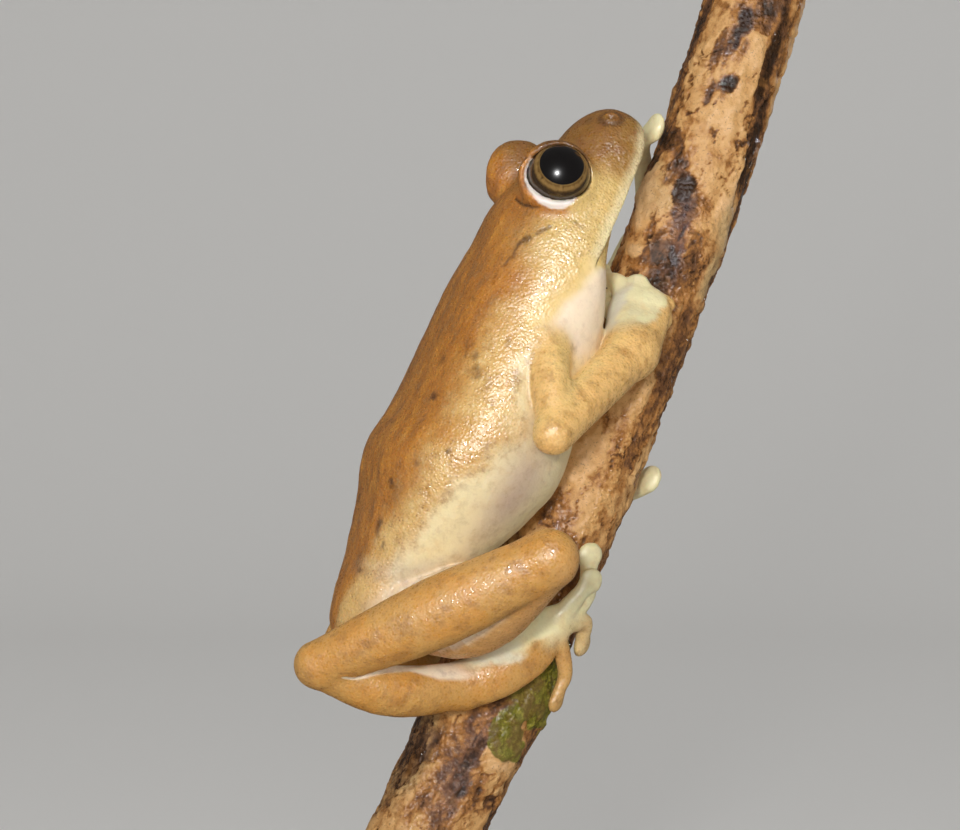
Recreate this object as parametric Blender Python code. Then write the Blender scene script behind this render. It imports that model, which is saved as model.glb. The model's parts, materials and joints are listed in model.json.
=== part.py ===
"""Nimba reed frog at life size, gripping a cut length of stem on a plain display stand.

All sizes are millimetres, and become metres when a mesh is made. The frog is drawn in its own
frame, (forward, up, right) from the vent, and what touches the stem is drawn around the stem's
axis, as (height, angle, lift). The origin is the middle of the underside of the stand's base.
"""
import math

import bmesh
import bpy
import numpy as np

OBJECT_NAME = "nimba_reed_frog"
METRES = 0.001
GAP = 0.3

# Pose: where the vent is beside the stem, how the body lies, and how the whole leans back
VENT = (-9.0, 0.0, -13.1)
PITCH = math.radians(59.7)
ROLL = math.radians(22.0)
LEAN = math.radians(8.0)
EYE_LEVEL = 42.0

# Body sections from vent to snout: forward, top, bottom, half width, level of the widest point
BODY = (
    (-1.0, 1.0, -2.4, 2.6, -0.9),
    (3.5, 1.25, -4.2, 3.9, -1.3),
    (7.0, 2.3, -5.4, 5.4, -1.5),
    (10.9, 3.75, -6.7, 7.0, -1.5),
    (14.0, 3.6, -7.4, 7.6, -1.3),
    (18.0, 4.05, -6.6, 7.2, -1.0),
    (22.0, 4.6, -5.7, 6.4, -0.7),
    (25.0, 4.65, -4.3, 6.2, -0.8),
    (27.6, 4.85, -2.6, 5.9, -0.9),
    (31.0, 3.95, -2.1, 4.9, -0.8),
    (34.0, 3.35, -1.9, 3.7, -0.5),
    (37.4, 3.0, -1.6, 3.0, 0.5),
)
VENT_ROUNDING = (3.0, -0.9)
SNOUT_ROUNDING = (34.0, 37.35)
BLUNTNESS = 2.3
FULLNESS = 2.2
BODY_SIDES = 28
NECK = 24.3

# Head details
EYE_CENTRE = (30.8, 3.5, 3.6)
EYE_GAZE = (-0.03, 0.27, 0.96)
EYE_RADIUS = 2.0
LID_RADII = (2.7, 2.4, 2.4)
LID_SETBACK = 0.25
LID_OPENING = 1.9
EYE_CLEARANCE = 0.25
NOSTRIL = (36.4, 2.0, 1.85)
NOSTRIL_RADIUS = 0.28
MOUTH_LINE = ((26.7, -1.0), (34.6, -1.0), (36.4, -0.75), (39.0, -0.2))
JAW_DEPTH = 9.0
JAW_SLOPE = 0.35
JAW_INSET = 0.7
JAW_INSET_LENGTH = 2.5

# Joints of the arms: forward, up, outward
SHOULDER = (21.4, -0.7, 5.0)
ELBOW = {"right": (16.2, -2.9, 9.2), "left": (18.5, -5.0, 10.0)}
WRIST = {"right": (24.0, -6.45, 3.95), "left": (26.6, -6.0, 7.4)}
UPPER_ARM_RADII = (1.5, 1.2, 1.05)
FOREARM_RADII = (1.3, 1.45, 1.6)
ARM_BOW = 0.4

# Joints of the legs: forward, up, outward
HIP = (2.4, -1.8, 2.0)
KNEE = {"right": (9.3, -5.7, 12.0), "left": (12.0, -5.0, 12.2)}
HEEL = {"right": (-3.0, 1.0, 4.4), "left": (-0.5, -3.0, 5.4)}
THIGH_MIDDLE = {"right": (4.6, -5.15, 5.8), "left": (6.4, -4.8, 6.6)}
TARSUS_END = {"right": (0.5, -8.1, 3.5), "left": (2.4, -10.1, 6.6)}
TARSUS_SAG = {"right": (-0.9, -0.2, 0.4), "left": (-0.8, 0.2, 0.8)}
THIGH_RADII = (1.9, 2.9, 1.8)
SHIN_RADII = (1.75, 2.15, 1.45)
TARSUS_RADII = (1.35, 1.5, 1.5)
SHIN_BOW = 0.5
JOINT_LEAD = 0.9
HEEL_LEAD = 0.4

# Palms and soles: points around the stem, then half widths and half heights
PALM = {
    "right": ((4.5, 1, 2.1), (5.5, -4, 1.6), (6.6, -7, 1.1)),
    "left": ((7.4, -146, 2.2), (9.4, -151, 1.35), (11.6, -154, 0.95)),
}
PALM_WIDTHS = (1.5, 1.8, 1.8)
PALM_HEIGHTS = (1.2, 1.05, 0.75)
SOLE = {
    "right": ((-17.9, -18, 1.6), (-16.2, -1, 1.2), (-14.0, 14, 0.95), (-12.5, 25, 0.85)),
    "left": ((-16.4, -142, 2.2), (-14.2, -150, 1.3), (-12.0, -157, 1.0), (-10.4, -162, 0.85)),
}
SOLE_WIDTHS = (1.5, 1.7, 1.85, 1.3)
SOLE_HEIGHTS = (1.4, 1.05, 0.75, 0.5)

# Digits around the stem: root, middle and tip, each (height, angle, lift)
FINGERS = {
    "right": (
        ((5.6, -16, 0.9), (6.2, -32, 0.75), (6.6, -46, 0.65)),
        ((6.4, -18, 0.8), (7.8, -34, 0.75), (8.2, -62, 0.65)),
        ((6.4, -12, 0.8), (7.4, -15, 0.75), (8.0, -18, 0.65)),
        ((5.7, 8, 0.9), (6.6, 15, 0.8), (7.4, 11, 0.7)),
    ),
    "left": (
        ((9.4, -152, 0.9), (8.2, -150, 0.75), (7.0, -148, 0.65)),
        ((13.0, -156, 0.8), (16.0, -126, 0.8), (18.1, -62, 0.75)),
        ((12.0, -150, 0.8), (15.4, -164, 0.75), (18.0, -172, 0.65)),
        ((11.0, -156, 0.8), (13.0, -184, 0.75), (13.8, -206, 0.65)),
    ),
}
TOES = {
    "right": (
        ((-14.4, 6, 0.8), (-12.9, -4, 0.75), (-11.6, -14, 0.65)),
        ((-13.4, 22, 0.9), (-11.2, 30, 1.1), (-9.3, 38, 1.3)),
        ((-12.6, 30, 0.8), (-10.2, 47, 0.65), (-7.9, 34, 0.65)),
        ((-12.4, 30, 0.8), (-11.5, 55, 0.75), (-12.6, 73, 0.65)),
        ((-12.8, 33, 0.8), (-14.5, 56, 0.8), (-16.3, 61, 0.65)),
    ),
    "left": (
        ((-12.6, -150, 0.8), (-13.2, -178, 0.75), (-13.8, -198, 0.65)),
        ((-11.4, -158, 0.8), (-10.4, -190, 0.75), (-9.6, -216, 0.65)),
        ((-10.4, -162, 0.8), (-7.0, -184, 0.75), (-3.4, -200, 0.65)),
        ((-10.6, -164, 0.8), (-4.4, -198, 0.8), (-1.8, -243, 1.0)),
        ((-11.0, -158, 0.8), (-7.4, -150, 0.75), (-4.6, -143, 0.65)),
    ),
}
DIGIT_WIDTHS = (0.7, 0.62, 0.52, 0.84)
DIGIT_HEIGHTS = (0.62, 0.54, 0.48, 0.44)
DIGIT_NECK = 0.6

# Stem: its axis in the upright frame, its thickness and the node where a leaf once grew
STEM_OFFSET = 8.1
STEM_SLOPE = 0.40
STEM_CURVE = -0.0016
STEM_DEPTH = 5.0
STEM_RADIUS = 3.45
STEM_TAPER = -0.005
STEM_NODE_HEIGHT = -17.5
STEM_NODE_SWELL = 0.45
STEM_NODE_SPREAD = 3.5
STEM_BOTTOM = -30.0
STEM_TOP = 32.0
STEM_RINGS = 20
STEM_SIDES = 20

# Stand
BASE_RADIUS = 29.0
BASE_THICKNESS = 5.0
BASE_BEVEL = 0.8
ROD_RADIUS = 1.5
ROD_STEM_HEIGHT = -28.6
ROD_TOP_IN_STEM = 1.6
ROD_IN_BASE = 3.0

SIDES = ("right", "left")
TUBE_SIDES = 12
TUBE_STEPS = 4
DIGIT_SIDES = 8
DIGIT_STEPS = 2
DOME_ANGLES = (math.radians(62), math.radians(30))

MATERIALS = {
    "skin_back": ((0.42, 0.19, 0.055), 0.35, 0.0),
    "skin_limb": ((0.46, 0.27, 0.10), 0.35, 0.0),
    "skin_foot": ((0.62, 0.58, 0.30), 0.35, 0.0),
    "eye": ((0.05, 0.03, 0.02), 0.08, 0.0),
    "stem_bark": ((0.24, 0.15, 0.10), 0.7, 0.0),
    "stand_wood": ((0.11, 0.07, 0.05), 0.45, 0.0),
    "rod_steel": ((0.55, 0.55, 0.56), 0.3, 1.0),
}


def unit(vectors):
    """Vectors of length one along the last axis."""
    return vectors / np.linalg.norm(vectors, axis=-1, keepdims=True)


def upright(points):
    """Leans points of the upright frame back and lifts them above the base."""
    x, y, z = np.moveaxis(np.asarray(points, float), -1, 0)
    sine, cosine = math.sin(LEAN), math.cos(LEAN)
    return np.stack((x, y * cosine + z * sine, z * cosine - y * sine + EYE_LEVEL), axis=-1)


FORWARD = np.array((math.cos(PITCH), 0.0, math.sin(PITCH)))
RISE = np.array((-math.sin(PITCH), 0.0, math.cos(PITCH)))
NEAR = np.array((0.0, -1.0, 0.0))
FROG_AXES = np.array((
    FORWARD,
    RISE * math.cos(ROLL) + NEAR * math.sin(ROLL),
    NEAR * math.cos(ROLL) - RISE * math.sin(ROLL),
))


def frog(points):
    """World places of (forward, up, right) points."""
    return upright(np.array(VENT) + np.asarray(points, float) @ FROG_AXES)


def sided(point, side):
    """A (forward, up, outward) point as (forward, up, right)."""
    return (point[0], point[1], point[2] if side == "right" else -point[2])


def stem_frame(height):
    """Axis point, and the directions to the near side and to the right, at a height."""
    height = np.asarray(height, float)
    slope = STEM_SLOPE + 2 * STEM_CURVE * height
    axis = np.stack((
        STEM_OFFSET + STEM_SLOPE * height + STEM_CURVE * height ** 2,
        np.full_like(height, STEM_DEPTH),
        height,
    ), axis=-1)
    right = unit(np.stack((np.ones_like(height), np.zeros_like(height), -slope), axis=-1))
    return axis, np.broadcast_to(NEAR, right.shape), right


def stem_radius(height):
    """The stem's radius, swollen at the node."""
    swell = STEM_NODE_SWELL * np.exp(-((height - STEM_NODE_HEIGHT) / STEM_NODE_SPREAD) ** 2)
    return STEM_RADIUS + STEM_TAPER * height + swell


def outward(points):
    """Directions away from the stem's axis at (height, angle, lift) points."""
    height, angle, _ = np.moveaxis(np.asarray(points, float), -1, 0)
    _, near, right = stem_frame(height)
    angle = np.radians(angle)[..., None]
    return near * np.cos(angle) + right * np.sin(angle)


def around_stem(points):
    """World places of (height, angle, lift) points."""
    height, _, lift = np.moveaxis(np.asarray(points, float), -1, 0)
    axis = stem_frame(height)[0]
    return upright(axis + (stem_radius(height) + lift)[..., None] * outward(points))


def through(values, steps):
    """Catmull-Rom samples through rows of values, with a number of steps to a span."""
    values = np.asarray(values, float)
    before = 2 * values[:1] - values[1:2]
    after = 2 * values[-1:] - values[-2:-1]
    padded = np.concatenate((before, values, after))
    samples = []
    for a, b, c, d in zip(padded, padded[1:], padded[2:], padded[3:]):
        for step in range(steps):
            t = step / steps
            curve = 2 * b + (c - a) * t + (2 * a - 5 * b + 4 * c - d) * t ** 2
            samples.append((curve + (3 * b - a - 3 * c + d) * t ** 3) / 2)
    samples.append(values[-1])
    return np.array(samples)


def link(mesh, name):
    """A new object of a bmesh, in the scene's own collection."""
    bmesh.ops.recalc_face_normals(mesh, faces=mesh.faces)
    bmesh.ops.triangulate(mesh, faces=mesh.faces)
    data = bpy.data.meshes.new(name)
    mesh.to_mesh(data)
    mesh.free()
    made = bpy.data.objects.new(name, data)
    bpy.context.scene.collection.objects.link(made)
    return made


def loft(name, rings, tips=(None, None)):
    """A closed body through rings of points. An end with a tip is pointed, and flat without."""
    mesh = bmesh.new()
    loops = []
    for ring in rings:
        loops.append([mesh.verts.new(point * METRES) for point in ring])
    for near, far in zip(loops, loops[1:]):
        for i in range(len(near)):
            mesh.faces.new((near[i - 1], near[i], far[i], far[i - 1]))
    for loop, tip in zip((loops[0], loops[-1]), tips):
        if tip is None:
            mesh.faces.new(loop)
            continue
        apex = mesh.verts.new(tip * METRES)
        for i in range(len(loop)):
            mesh.faces.new((loop[i - 1], loop[i], apex))
    return link(mesh, name)


def tube(name, path, widths, heights, ups, grow=0.0, steps=TUBE_STEPS, sides=TUBE_SIDES):
    """A round-ended body along a path, with half widths and half heights at its points."""
    centres = through(path, steps)
    wide = through(widths, steps) + grow
    high = through(heights, steps) + grow
    along = unit(np.gradient(centres, axis=0))
    across = unit(np.cross(through(ups, steps), along))
    upward = np.cross(along, across)
    turn = np.linspace(0, 2 * math.pi, sides, endpoint=False)[:, None]

    def ring(index, angle=0.0, way=1):
        section = wide[index] * np.cos(turn) * across[index]
        section = section + high[index] * np.sin(turn) * upward[index]
        reach = way * math.sin(angle) * wide[index]
        return centres[index] + reach * along[index] + math.cos(angle) * section

    last = len(centres) - 1
    rings = [ring(0, angle, -1) for angle in DOME_ANGLES]
    rings += [ring(index) for index in range(last + 1)]
    rings += [ring(last, angle) for angle in reversed(DOME_ANGLES)]
    tips = (centres[0] - wide[0] * along[0], centres[last] + wide[last] * along[last])
    return loft(name, rings, tips)


def ball(name, centre, radii, sides=18):
    """An ellipsoid with its half lengths along the frog's forward, up and right."""
    mesh = bmesh.new()
    bmesh.ops.create_uvsphere(mesh, u_segments=sides, v_segments=sides // 2, radius=1.0)
    turn = frog(np.eye(3)) - frog(np.zeros((3, 3)))
    for vert in mesh.verts:
        vert.co = (centre + (np.array(vert.co) * radii) @ turn) * METRES
    return link(mesh, name)


def rod(name, start, end, radius, sides=20):
    """A straight round bar between two points."""
    along = unit(end - start)
    across = unit(np.cross(along, (0.3, 0.2, 0.93)))
    upward = np.cross(along, across)
    turn = np.linspace(0, 2 * math.pi, sides, endpoint=False)[:, None]
    ring = radius * (np.cos(turn) * across + np.sin(turn) * upward)
    return loft(name, (start + ring, end + ring))


def keep_largest(target):
    """Leaves only the largest closed surface of a mesh."""
    mesh = bmesh.new()
    mesh.from_mesh(target.data)
    unseen = set(mesh.verts)
    largest = set()
    while unseen:
        island = {unseen.pop()}
        edge = list(island)
        while edge:
            for line in edge.pop().link_edges:
                for vert in line.verts:
                    if vert in unseen:
                        unseen.remove(vert)
                        island.add(vert)
                        edge.append(vert)
        if len(island) > len(largest):
            largest = island
    bmesh.ops.delete(mesh, geom=[v for v in mesh.verts if v not in largest], context="VERTS")
    bmesh.ops.triangulate(mesh, faces=mesh.faces)
    mesh.to_mesh(target.data)
    mesh.free()


def combine(target, tools, operation):
    """Applies one Boolean of a collection of closed bodies to target and removes the tools."""
    tools = list(tools)
    if not tools:
        return target
    cutters = bpy.data.collections.new("cutters")
    bpy.context.scene.collection.children.link(cutters)
    for tool in tools:
        tool.hide_render = True
        tool.display_type = "WIRE"
        cutters.objects.link(tool)
    boolean = target.modifiers.new("boolean", "BOOLEAN")
    boolean.operand_type = "COLLECTION"
    boolean.collection = cutters
    boolean.operation = operation
    boolean.solver = "EXACT"
    evaluated = target.evaluated_get(bpy.context.evaluated_depsgraph_get())
    result = bpy.data.meshes.new_from_object(evaluated)
    target.modifiers.clear()
    target.data = result
    for tool in tools:
        bpy.data.objects.remove(tool)
    bpy.data.collections.remove(cutters)
    keep_largest(target)
    return target


def body_section(forward, grow=0.0, inset=0.0):
    """One ring of the body and head at a distance from the vent, narrowed by an inset."""
    table = np.array(BODY)
    slopes = np.gradient(table[:, 1:], table[:, 0], axis=0)
    at = min(max(forward, BODY[0][0]), BODY[-1][0])
    row = min(max(int(np.searchsorted(table[:, 0], at)) - 1, 0), len(BODY) - 2)
    span = table[row + 1, 0] - table[row, 0]
    t = (at - table[row, 0]) / span
    values = (
        (2 * t ** 3 - 3 * t ** 2 + 1) * table[row, 1:]
        + (t ** 3 - 2 * t ** 2 + t) * span * slopes[row]
        + (3 * t ** 2 - 2 * t ** 3) * table[row + 1, 1:]
        + (t ** 3 - t ** 2) * span * slopes[row + 1]
    )
    top, bottom, half_width, level = values
    scale = 1.0
    for start, end in (VENT_ROUNDING, SNOUT_ROUNDING):
        reach = (forward - start) / (end - start + math.copysign(grow, end - start))
        power = BLUNTNESS if end > start else 2.0
        if reach > 0:
            scale *= max(0.0, 1 - reach ** power) ** (1 / power)
    turn = np.linspace(0, 2 * math.pi, BODY_SIDES, endpoint=False)
    side = np.sign(np.cos(turn)) * np.abs(np.cos(turn)) ** (2 / FULLNESS)
    rise = np.sign(np.sin(turn)) * np.abs(np.sin(turn)) ** (2 / FULLNESS)
    height = np.where(rise > 0, top - level + grow, level - bottom + grow)
    return frog(np.stack((
        np.full(BODY_SIDES, forward),
        level + scale * height * rise,
        scale * (half_width + grow - inset) * side,
    ), axis=-1))


def body_tip(forward, grow):
    """The pointed end of the body at the vent or the snout."""
    level = BODY[0][4] if forward < 0 else BODY[-1][4]
    return frog((forward + math.copysign(grow, forward), level, 0.0))


def make_torso(grow=0.0):
    """Body from the vent to the neck."""
    start, end = VENT_ROUNDING[0], VENT_ROUNDING[1] - grow
    swing = np.radians((8, 22, 38, 56, 74))
    places = list(start + (end - start) * np.cos(swing)) + list(np.linspace(start, NECK + grow, 16))
    rings = [body_section(place, grow) for place in places]
    return loft("torso", rings, (body_tip(VENT_ROUNDING[1], grow), None))


def make_skull(grow=0.0, inset=0.0):
    """Head from the neck to the snout, still without eyes or mouth. An inset narrows the jaw."""
    start, end = SNOUT_ROUNDING[0], SNOUT_ROUNDING[1] + grow
    swing = np.radians((82, 66, 50, 35, 20, 8))
    places = list(np.linspace(NECK + GAP - grow, start, 12)) + list(start + (end - start) * np.cos(swing))
    rings = []
    for place in places:
        ahead = min(max((place - MOUTH_LINE[0][0]) / JAW_INSET_LENGTH, 0.0), 1.0)
        rings.append(body_section(place, grow, inset * ahead))
    return loft("head", rings, (None, body_tip(SNOUT_ROUNDING[1], grow)))


def eye_places():
    """Name, centre and gaze of each eye in the world."""
    for side in SIDES:
        centre = frog(sided(EYE_CENTRE, side))
        gaze = unit(frog(np.add(sided(EYE_CENTRE, side), sided(EYE_GAZE, side))) - centre)
        yield side, centre, gaze


def make_jaw_block(grow=0.0):
    """The space under the line of the mouth, ahead of the corner of the mouth."""
    outline = [(forward, up + grow) for forward, up in MOUTH_LINE]
    outline[0] = (MOUTH_LINE[0][0] - grow, MOUTH_LINE[0][1] + grow)
    outline.append((MOUTH_LINE[-1][0], -JAW_DEPTH))
    outline.append((MOUTH_LINE[0][0] - grow - JAW_SLOPE * JAW_DEPTH, -JAW_DEPTH))
    rings = []
    for right in (-JAW_DEPTH, JAW_DEPTH):
        rings.append(frog([(forward, up, right) for forward, up in outline]))
    return loft("jaw_block", rings)


def make_head():
    """Upper head with its lids, eye sockets and nostrils."""
    head = make_skull()
    lids = []
    for side in SIDES:
        centre = np.subtract(EYE_CENTRE, (LID_SETBACK, 0.0, 0.0))
        lids.append(ball("lid", frog(sided(centre, side)), LID_RADII))
    combine(head, lids, "UNION")
    cuts = [make_jaw_block(GAP)]
    for side, centre, gaze in eye_places():
        cuts.append(ball("socket", centre, EYE_RADIUS + EYE_CLEARANCE))
        cuts.append(rod("opening", centre, centre + 2 * LID_OPENING * gaze, LID_OPENING))
        cuts.append(ball("nostril", frog(sided(NOSTRIL, side)), NOSTRIL_RADIUS, 10))
    return combine(head, cuts, "DIFFERENCE")


def make_lower_jaw():
    """Chin and throat below the line of the mouth."""
    jaw = make_skull(inset=JAW_INSET)
    jaw.name = "lower_jaw"
    return combine(jaw, [make_jaw_block()], "INTERSECT")


def limb(name, side, points, radii, bow, grow, lead=0.0):
    """A limb piece between joints, bowed outward and starting a lead past the first joint."""
    path = [np.array(sided(point, side), float) for point in points]
    path[0] = path[0] + lead * unit(path[1] - path[0])
    if len(path) == 2:
        middle = (path[0] + path[1]) / 2 + np.array(sided((0.0, 0.0, bow), side))
        path = [path[0], middle, path[1]]
    return tube(name, frog(path), radii, radii, [FROG_AXES[1]] * 3, grow)


def make_upper_arm(side, grow=0.0):
    """Shoulder to elbow."""
    points = (SHOULDER, ELBOW[side])
    return limb("upper_arm_" + side, side, points, UPPER_ARM_RADII, ARM_BOW, grow)


def make_forearm(side, grow=0.0):
    """Elbow to wrist."""
    points = (ELBOW[side], WRIST[side])
    return limb("forearm_" + side, side, points, FOREARM_RADII, 0.0, grow, JOINT_LEAD)


def make_thigh(side, grow=0.0):
    """Hip to knee."""
    points = (HIP, THIGH_MIDDLE[side], KNEE[side])
    return limb("thigh_" + side, side, points, THIGH_RADII, 0.0, grow)


def make_shin(side, grow=0.0):
    """Knee to heel."""
    points = (KNEE[side], HEEL[side])
    return limb("shin_" + side, side, points, SHIN_RADII, SHIN_BOW, grow, JOINT_LEAD)


def make_tarsus(side, grow=0.0):
    """Heel to the root of the foot."""
    middle = np.add(HEEL[side], TARSUS_END[side]) / 2 + TARSUS_SAG[side]
    points = (HEEL[side], middle, TARSUS_END[side])
    return limb("tarsus_" + side, side, points, TARSUS_RADII, 0.0, grow, HEEL_LEAD)


def make_digit(points):
    """A finger or toe with a disc at its tip, along the stem's surface."""
    root, middle, tip = np.asarray(points, float)
    path = np.array((root, middle, middle + (tip - middle) * DIGIT_NECK, tip))
    return tube(
        "digit", around_stem(path), DIGIT_WIDTHS, DIGIT_HEIGHTS, outward(path),
        steps=DIGIT_STEPS, sides=DIGIT_SIDES,
    )


def make_grip(name, palm, widths, heights, digits):
    """A palm or sole with its digits, fused into one body."""
    grip = tube(name, around_stem(palm), widths, heights, outward(palm), steps=DIGIT_STEPS)
    return combine(grip, [make_digit(points) for points in digits], "UNION")


def make_perch(grow=0.0):
    """The cut length of stem."""
    turn = np.linspace(0, 360, STEM_SIDES, endpoint=False)
    rings = []
    for height in np.linspace(STEM_BOTTOM - grow, STEM_TOP + grow, STEM_RINGS):
        points = [(height, angle, grow) for angle in turn]
        rings.append(around_stem(points))
    return loft("perch", rings)


def rod_line(grow=0.0):
    """Foot and top of the stand's rod."""
    held = around_stem((ROD_STEM_HEIGHT, 0, -stem_radius(ROD_STEM_HEIGHT)))
    foot = np.array((held[0], held[1], BASE_THICKNESS - ROD_IN_BASE - grow))
    return foot, held + (0.0, 0.0, ROD_TOP_IN_STEM + grow)


def make_rod(grow=0.0):
    """The rod from the base up into the stem."""
    foot, top = rod_line(grow)
    return rod("stand_rod", foot, top, ROD_RADIUS + grow)


def make_base():
    """The flat round base, with its edges eased and a socket for the rod."""
    mesh = bmesh.new()
    bmesh.ops.create_cone(
        mesh, cap_ends=True, segments=48, radius1=BASE_RADIUS * METRES,
        radius2=BASE_RADIUS * METRES, depth=BASE_THICKNESS * METRES,
    )
    bmesh.ops.translate(mesh, verts=mesh.verts, vec=(0, 0, BASE_THICKNESS * METRES / 2))
    rims = [edge for edge in mesh.edges if abs(edge.verts[0].co.z - edge.verts[1].co.z) < METRES / 2]
    bmesh.ops.bevel(mesh, geom=rims, offset=BASE_BEVEL * METRES, segments=2, profile=0.5, affect="EDGES")
    return combine(link(mesh, "stand_base"), [make_rod(GAP)], "DIFFERENCE")


def make_parts():
    """Every node and its material. A piece is cut clear of those made before it."""
    perch = combine(make_perch(), [make_rod(GAP)], "DIFFERENCE")
    parts = [(perch, "stem_bark"), (make_base(), "stand_wood"), (make_rod(), "rod_steel")]
    for side, centre, _ in eye_places():
        parts.append((ball("eye_" + side, centre, EYE_RADIUS), "eye"))
    parts.append((combine(make_torso(), [make_perch(GAP)], "DIFFERENCE"), "skin_back"))
    parts.append((combine(make_head(), [make_perch(GAP)], "DIFFERENCE"), "skin_back"))
    parts.append((combine(make_lower_jaw(), [make_perch(GAP)], "DIFFERENCE"), "skin_back"))
    for side in SIDES:
        made = [make_perch, make_torso, make_skull]
        chain = (
            (make_thigh, "skin_limb"), (make_shin, "skin_limb"), (make_tarsus, "skin_limb"),
            (make_upper_arm, "skin_limb"), (make_forearm, "skin_limb"),
        )
        limbs = []
        for make, skin in chain:
            cuts = [build(GAP) for build in made] + [build(side, GAP) for build in limbs]
            parts.append((combine(make(side), cuts, "DIFFERENCE"), skin))
            limbs.append(make)
        grips = (
            ("foot_" + side, SOLE[side], SOLE_WIDTHS, SOLE_HEIGHTS, TOES[side]),
            ("hand_" + side, PALM[side], PALM_WIDTHS, PALM_HEIGHTS, FINGERS[side]),
        )
        for name, palm, widths, heights, digits in grips:
            cuts = [build(GAP) for build in made] + [build(side, GAP) for build in limbs]
            grip = make_grip(name, palm, widths, heights, digits)
            parts.append((combine(grip, cuts, "DIFFERENCE"), "skin_foot"))
    return parts


def make_material(name):
    """A Principled material of one colour, roughness and metallic value."""
    colour, roughness, metallic = MATERIALS[name]
    material = bpy.data.materials.new(name)
    material.use_nodes = True
    shader = material.node_tree.nodes["Principled BSDF"]
    shader.inputs["Base Color"].default_value = (*colour, 1.0)
    shader.inputs["Roughness"].default_value = roughness
    shader.inputs["Metallic"].default_value = metallic
    return material


def main():
    """Clears the scene and builds the model."""
    for old in list(bpy.data.objects):
        bpy.data.objects.remove(old)
    collection = bpy.data.collections.new(OBJECT_NAME)
    bpy.context.scene.collection.children.link(collection)
    materials = {name: make_material(name) for name in MATERIALS}
    for part, material in make_parts():
        for holder in list(part.users_collection):
            holder.objects.unlink(part)
        collection.objects.link(part)
        part.data.materials.clear()
        part.data.materials.append(materials[material])
        part.data.shade_smooth()
        part.data.set_sharp_from_angle(angle=math.radians(40))


main()
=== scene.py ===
"""Looks of the life-size nimba reed frog on its perch: skin, eyes, bark, moss, stand and studio.

Shapes are worked out in millimetres in the frames of the solids, and become metres in each mesh.
A frog place is (forward, up, right) from the vent. A stem place is (height, angle, lift).
"""
import itertools
import json
import math

import bpy
import numpy as np
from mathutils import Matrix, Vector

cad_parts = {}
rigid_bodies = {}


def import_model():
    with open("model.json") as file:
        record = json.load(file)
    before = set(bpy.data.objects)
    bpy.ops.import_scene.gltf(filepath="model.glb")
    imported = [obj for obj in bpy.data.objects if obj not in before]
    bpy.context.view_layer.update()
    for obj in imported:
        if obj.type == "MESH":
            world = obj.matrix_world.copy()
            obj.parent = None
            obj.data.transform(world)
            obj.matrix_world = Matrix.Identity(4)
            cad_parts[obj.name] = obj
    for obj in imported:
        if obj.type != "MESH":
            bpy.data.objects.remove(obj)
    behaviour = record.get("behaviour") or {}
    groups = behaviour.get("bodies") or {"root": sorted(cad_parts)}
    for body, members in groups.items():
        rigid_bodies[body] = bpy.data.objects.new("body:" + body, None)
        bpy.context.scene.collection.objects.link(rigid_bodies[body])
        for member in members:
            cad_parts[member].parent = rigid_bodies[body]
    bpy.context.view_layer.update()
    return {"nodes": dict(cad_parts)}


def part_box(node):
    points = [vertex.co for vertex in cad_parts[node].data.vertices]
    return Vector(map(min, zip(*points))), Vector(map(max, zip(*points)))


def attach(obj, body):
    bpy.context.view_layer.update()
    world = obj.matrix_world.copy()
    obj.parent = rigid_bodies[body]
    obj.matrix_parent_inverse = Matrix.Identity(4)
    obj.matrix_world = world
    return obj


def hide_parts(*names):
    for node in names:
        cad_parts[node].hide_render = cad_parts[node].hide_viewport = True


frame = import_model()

import openvdb
from bpy.props import FloatProperty, FloatVectorProperty, PointerProperty
from mathutils import Vector

bl_info = {
    "name": "Reed frog model",
    "version": (1, 0, 0),
    "blender": (4, 5, 0),
    "location": "3D View > Sidebar > Frog",
    "description": "Skin, eyes, perch, stand and studio of a life-size reed frog model",
    "category": "Object",
}

METRES = 0.001

# Pose and body of the frog, as in the solids
VENT = np.array((-9.0, 0.0, -13.1))
PITCH = math.radians(59.7)
ROLL = math.radians(22.0)
LEAN = math.radians(8.0)
EYE_LEVEL = 42.0
BODY = np.array((
    (-1.0, 1.0, -2.4, 2.6, -0.9),
    (3.5, 1.25, -4.2, 3.9, -1.3),
    (7.0, 2.3, -5.4, 5.4, -1.5),
    (10.9, 3.75, -6.7, 7.0, -1.5),
    (14.0, 3.6, -7.4, 7.6, -1.3),
    (18.0, 4.05, -6.6, 7.2, -1.0),
    (22.0, 4.6, -5.7, 6.4, -0.7),
    (25.0, 4.65, -4.3, 6.2, -0.8),
    (27.6, 4.85, -2.6, 5.9, -0.9),
    (31.0, 3.95, -2.1, 4.9, -0.8),
    (34.0, 3.35, -1.9, 3.7, -0.5),
    (37.4, 3.0, -1.6, 3.0, 0.5),
))
VENT_ROUNDING = (3.0, -0.9)
SNOUT_ROUNDING = (34.0, 37.35)
BLUNTNESS = 2.3
FULLNESS = 2.2

# Limbs: forward, up, outward
SHOULDER = (21.4, -0.7, 5.0)
ELBOW = {"right": (16.2, -2.9, 9.2), "left": (18.5, -5.0, 10.0)}
WRIST = {"right": (24.0, -6.45, 3.95), "left": (26.6, -6.0, 7.4)}
HIP = (2.4, -1.8, 2.0)
KNEE = {"right": (9.3, -5.7, 12.0), "left": (12.0, -5.0, 12.2)}
HEEL = {"right": (-3.0, 1.0, 4.4), "left": (-0.5, -3.0, 5.4)}
THIGH_MIDDLE = {"right": (4.6, -5.15, 5.8), "left": (6.4, -4.8, 6.6)}
TARSUS_END = {"right": (0.5, -8.1, 3.5), "left": (2.4, -10.1, 6.6)}
TARSUS_SAG = {"right": (-0.9, -0.2, 0.4), "left": (-0.8, 0.2, 0.8)}
UPPER_ARM_RADII = (1.5, 1.2, 1.05)
FOREARM_RADII = (1.3, 1.45, 1.6)
THIGH_RADII = (1.9, 2.9, 1.8)
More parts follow.
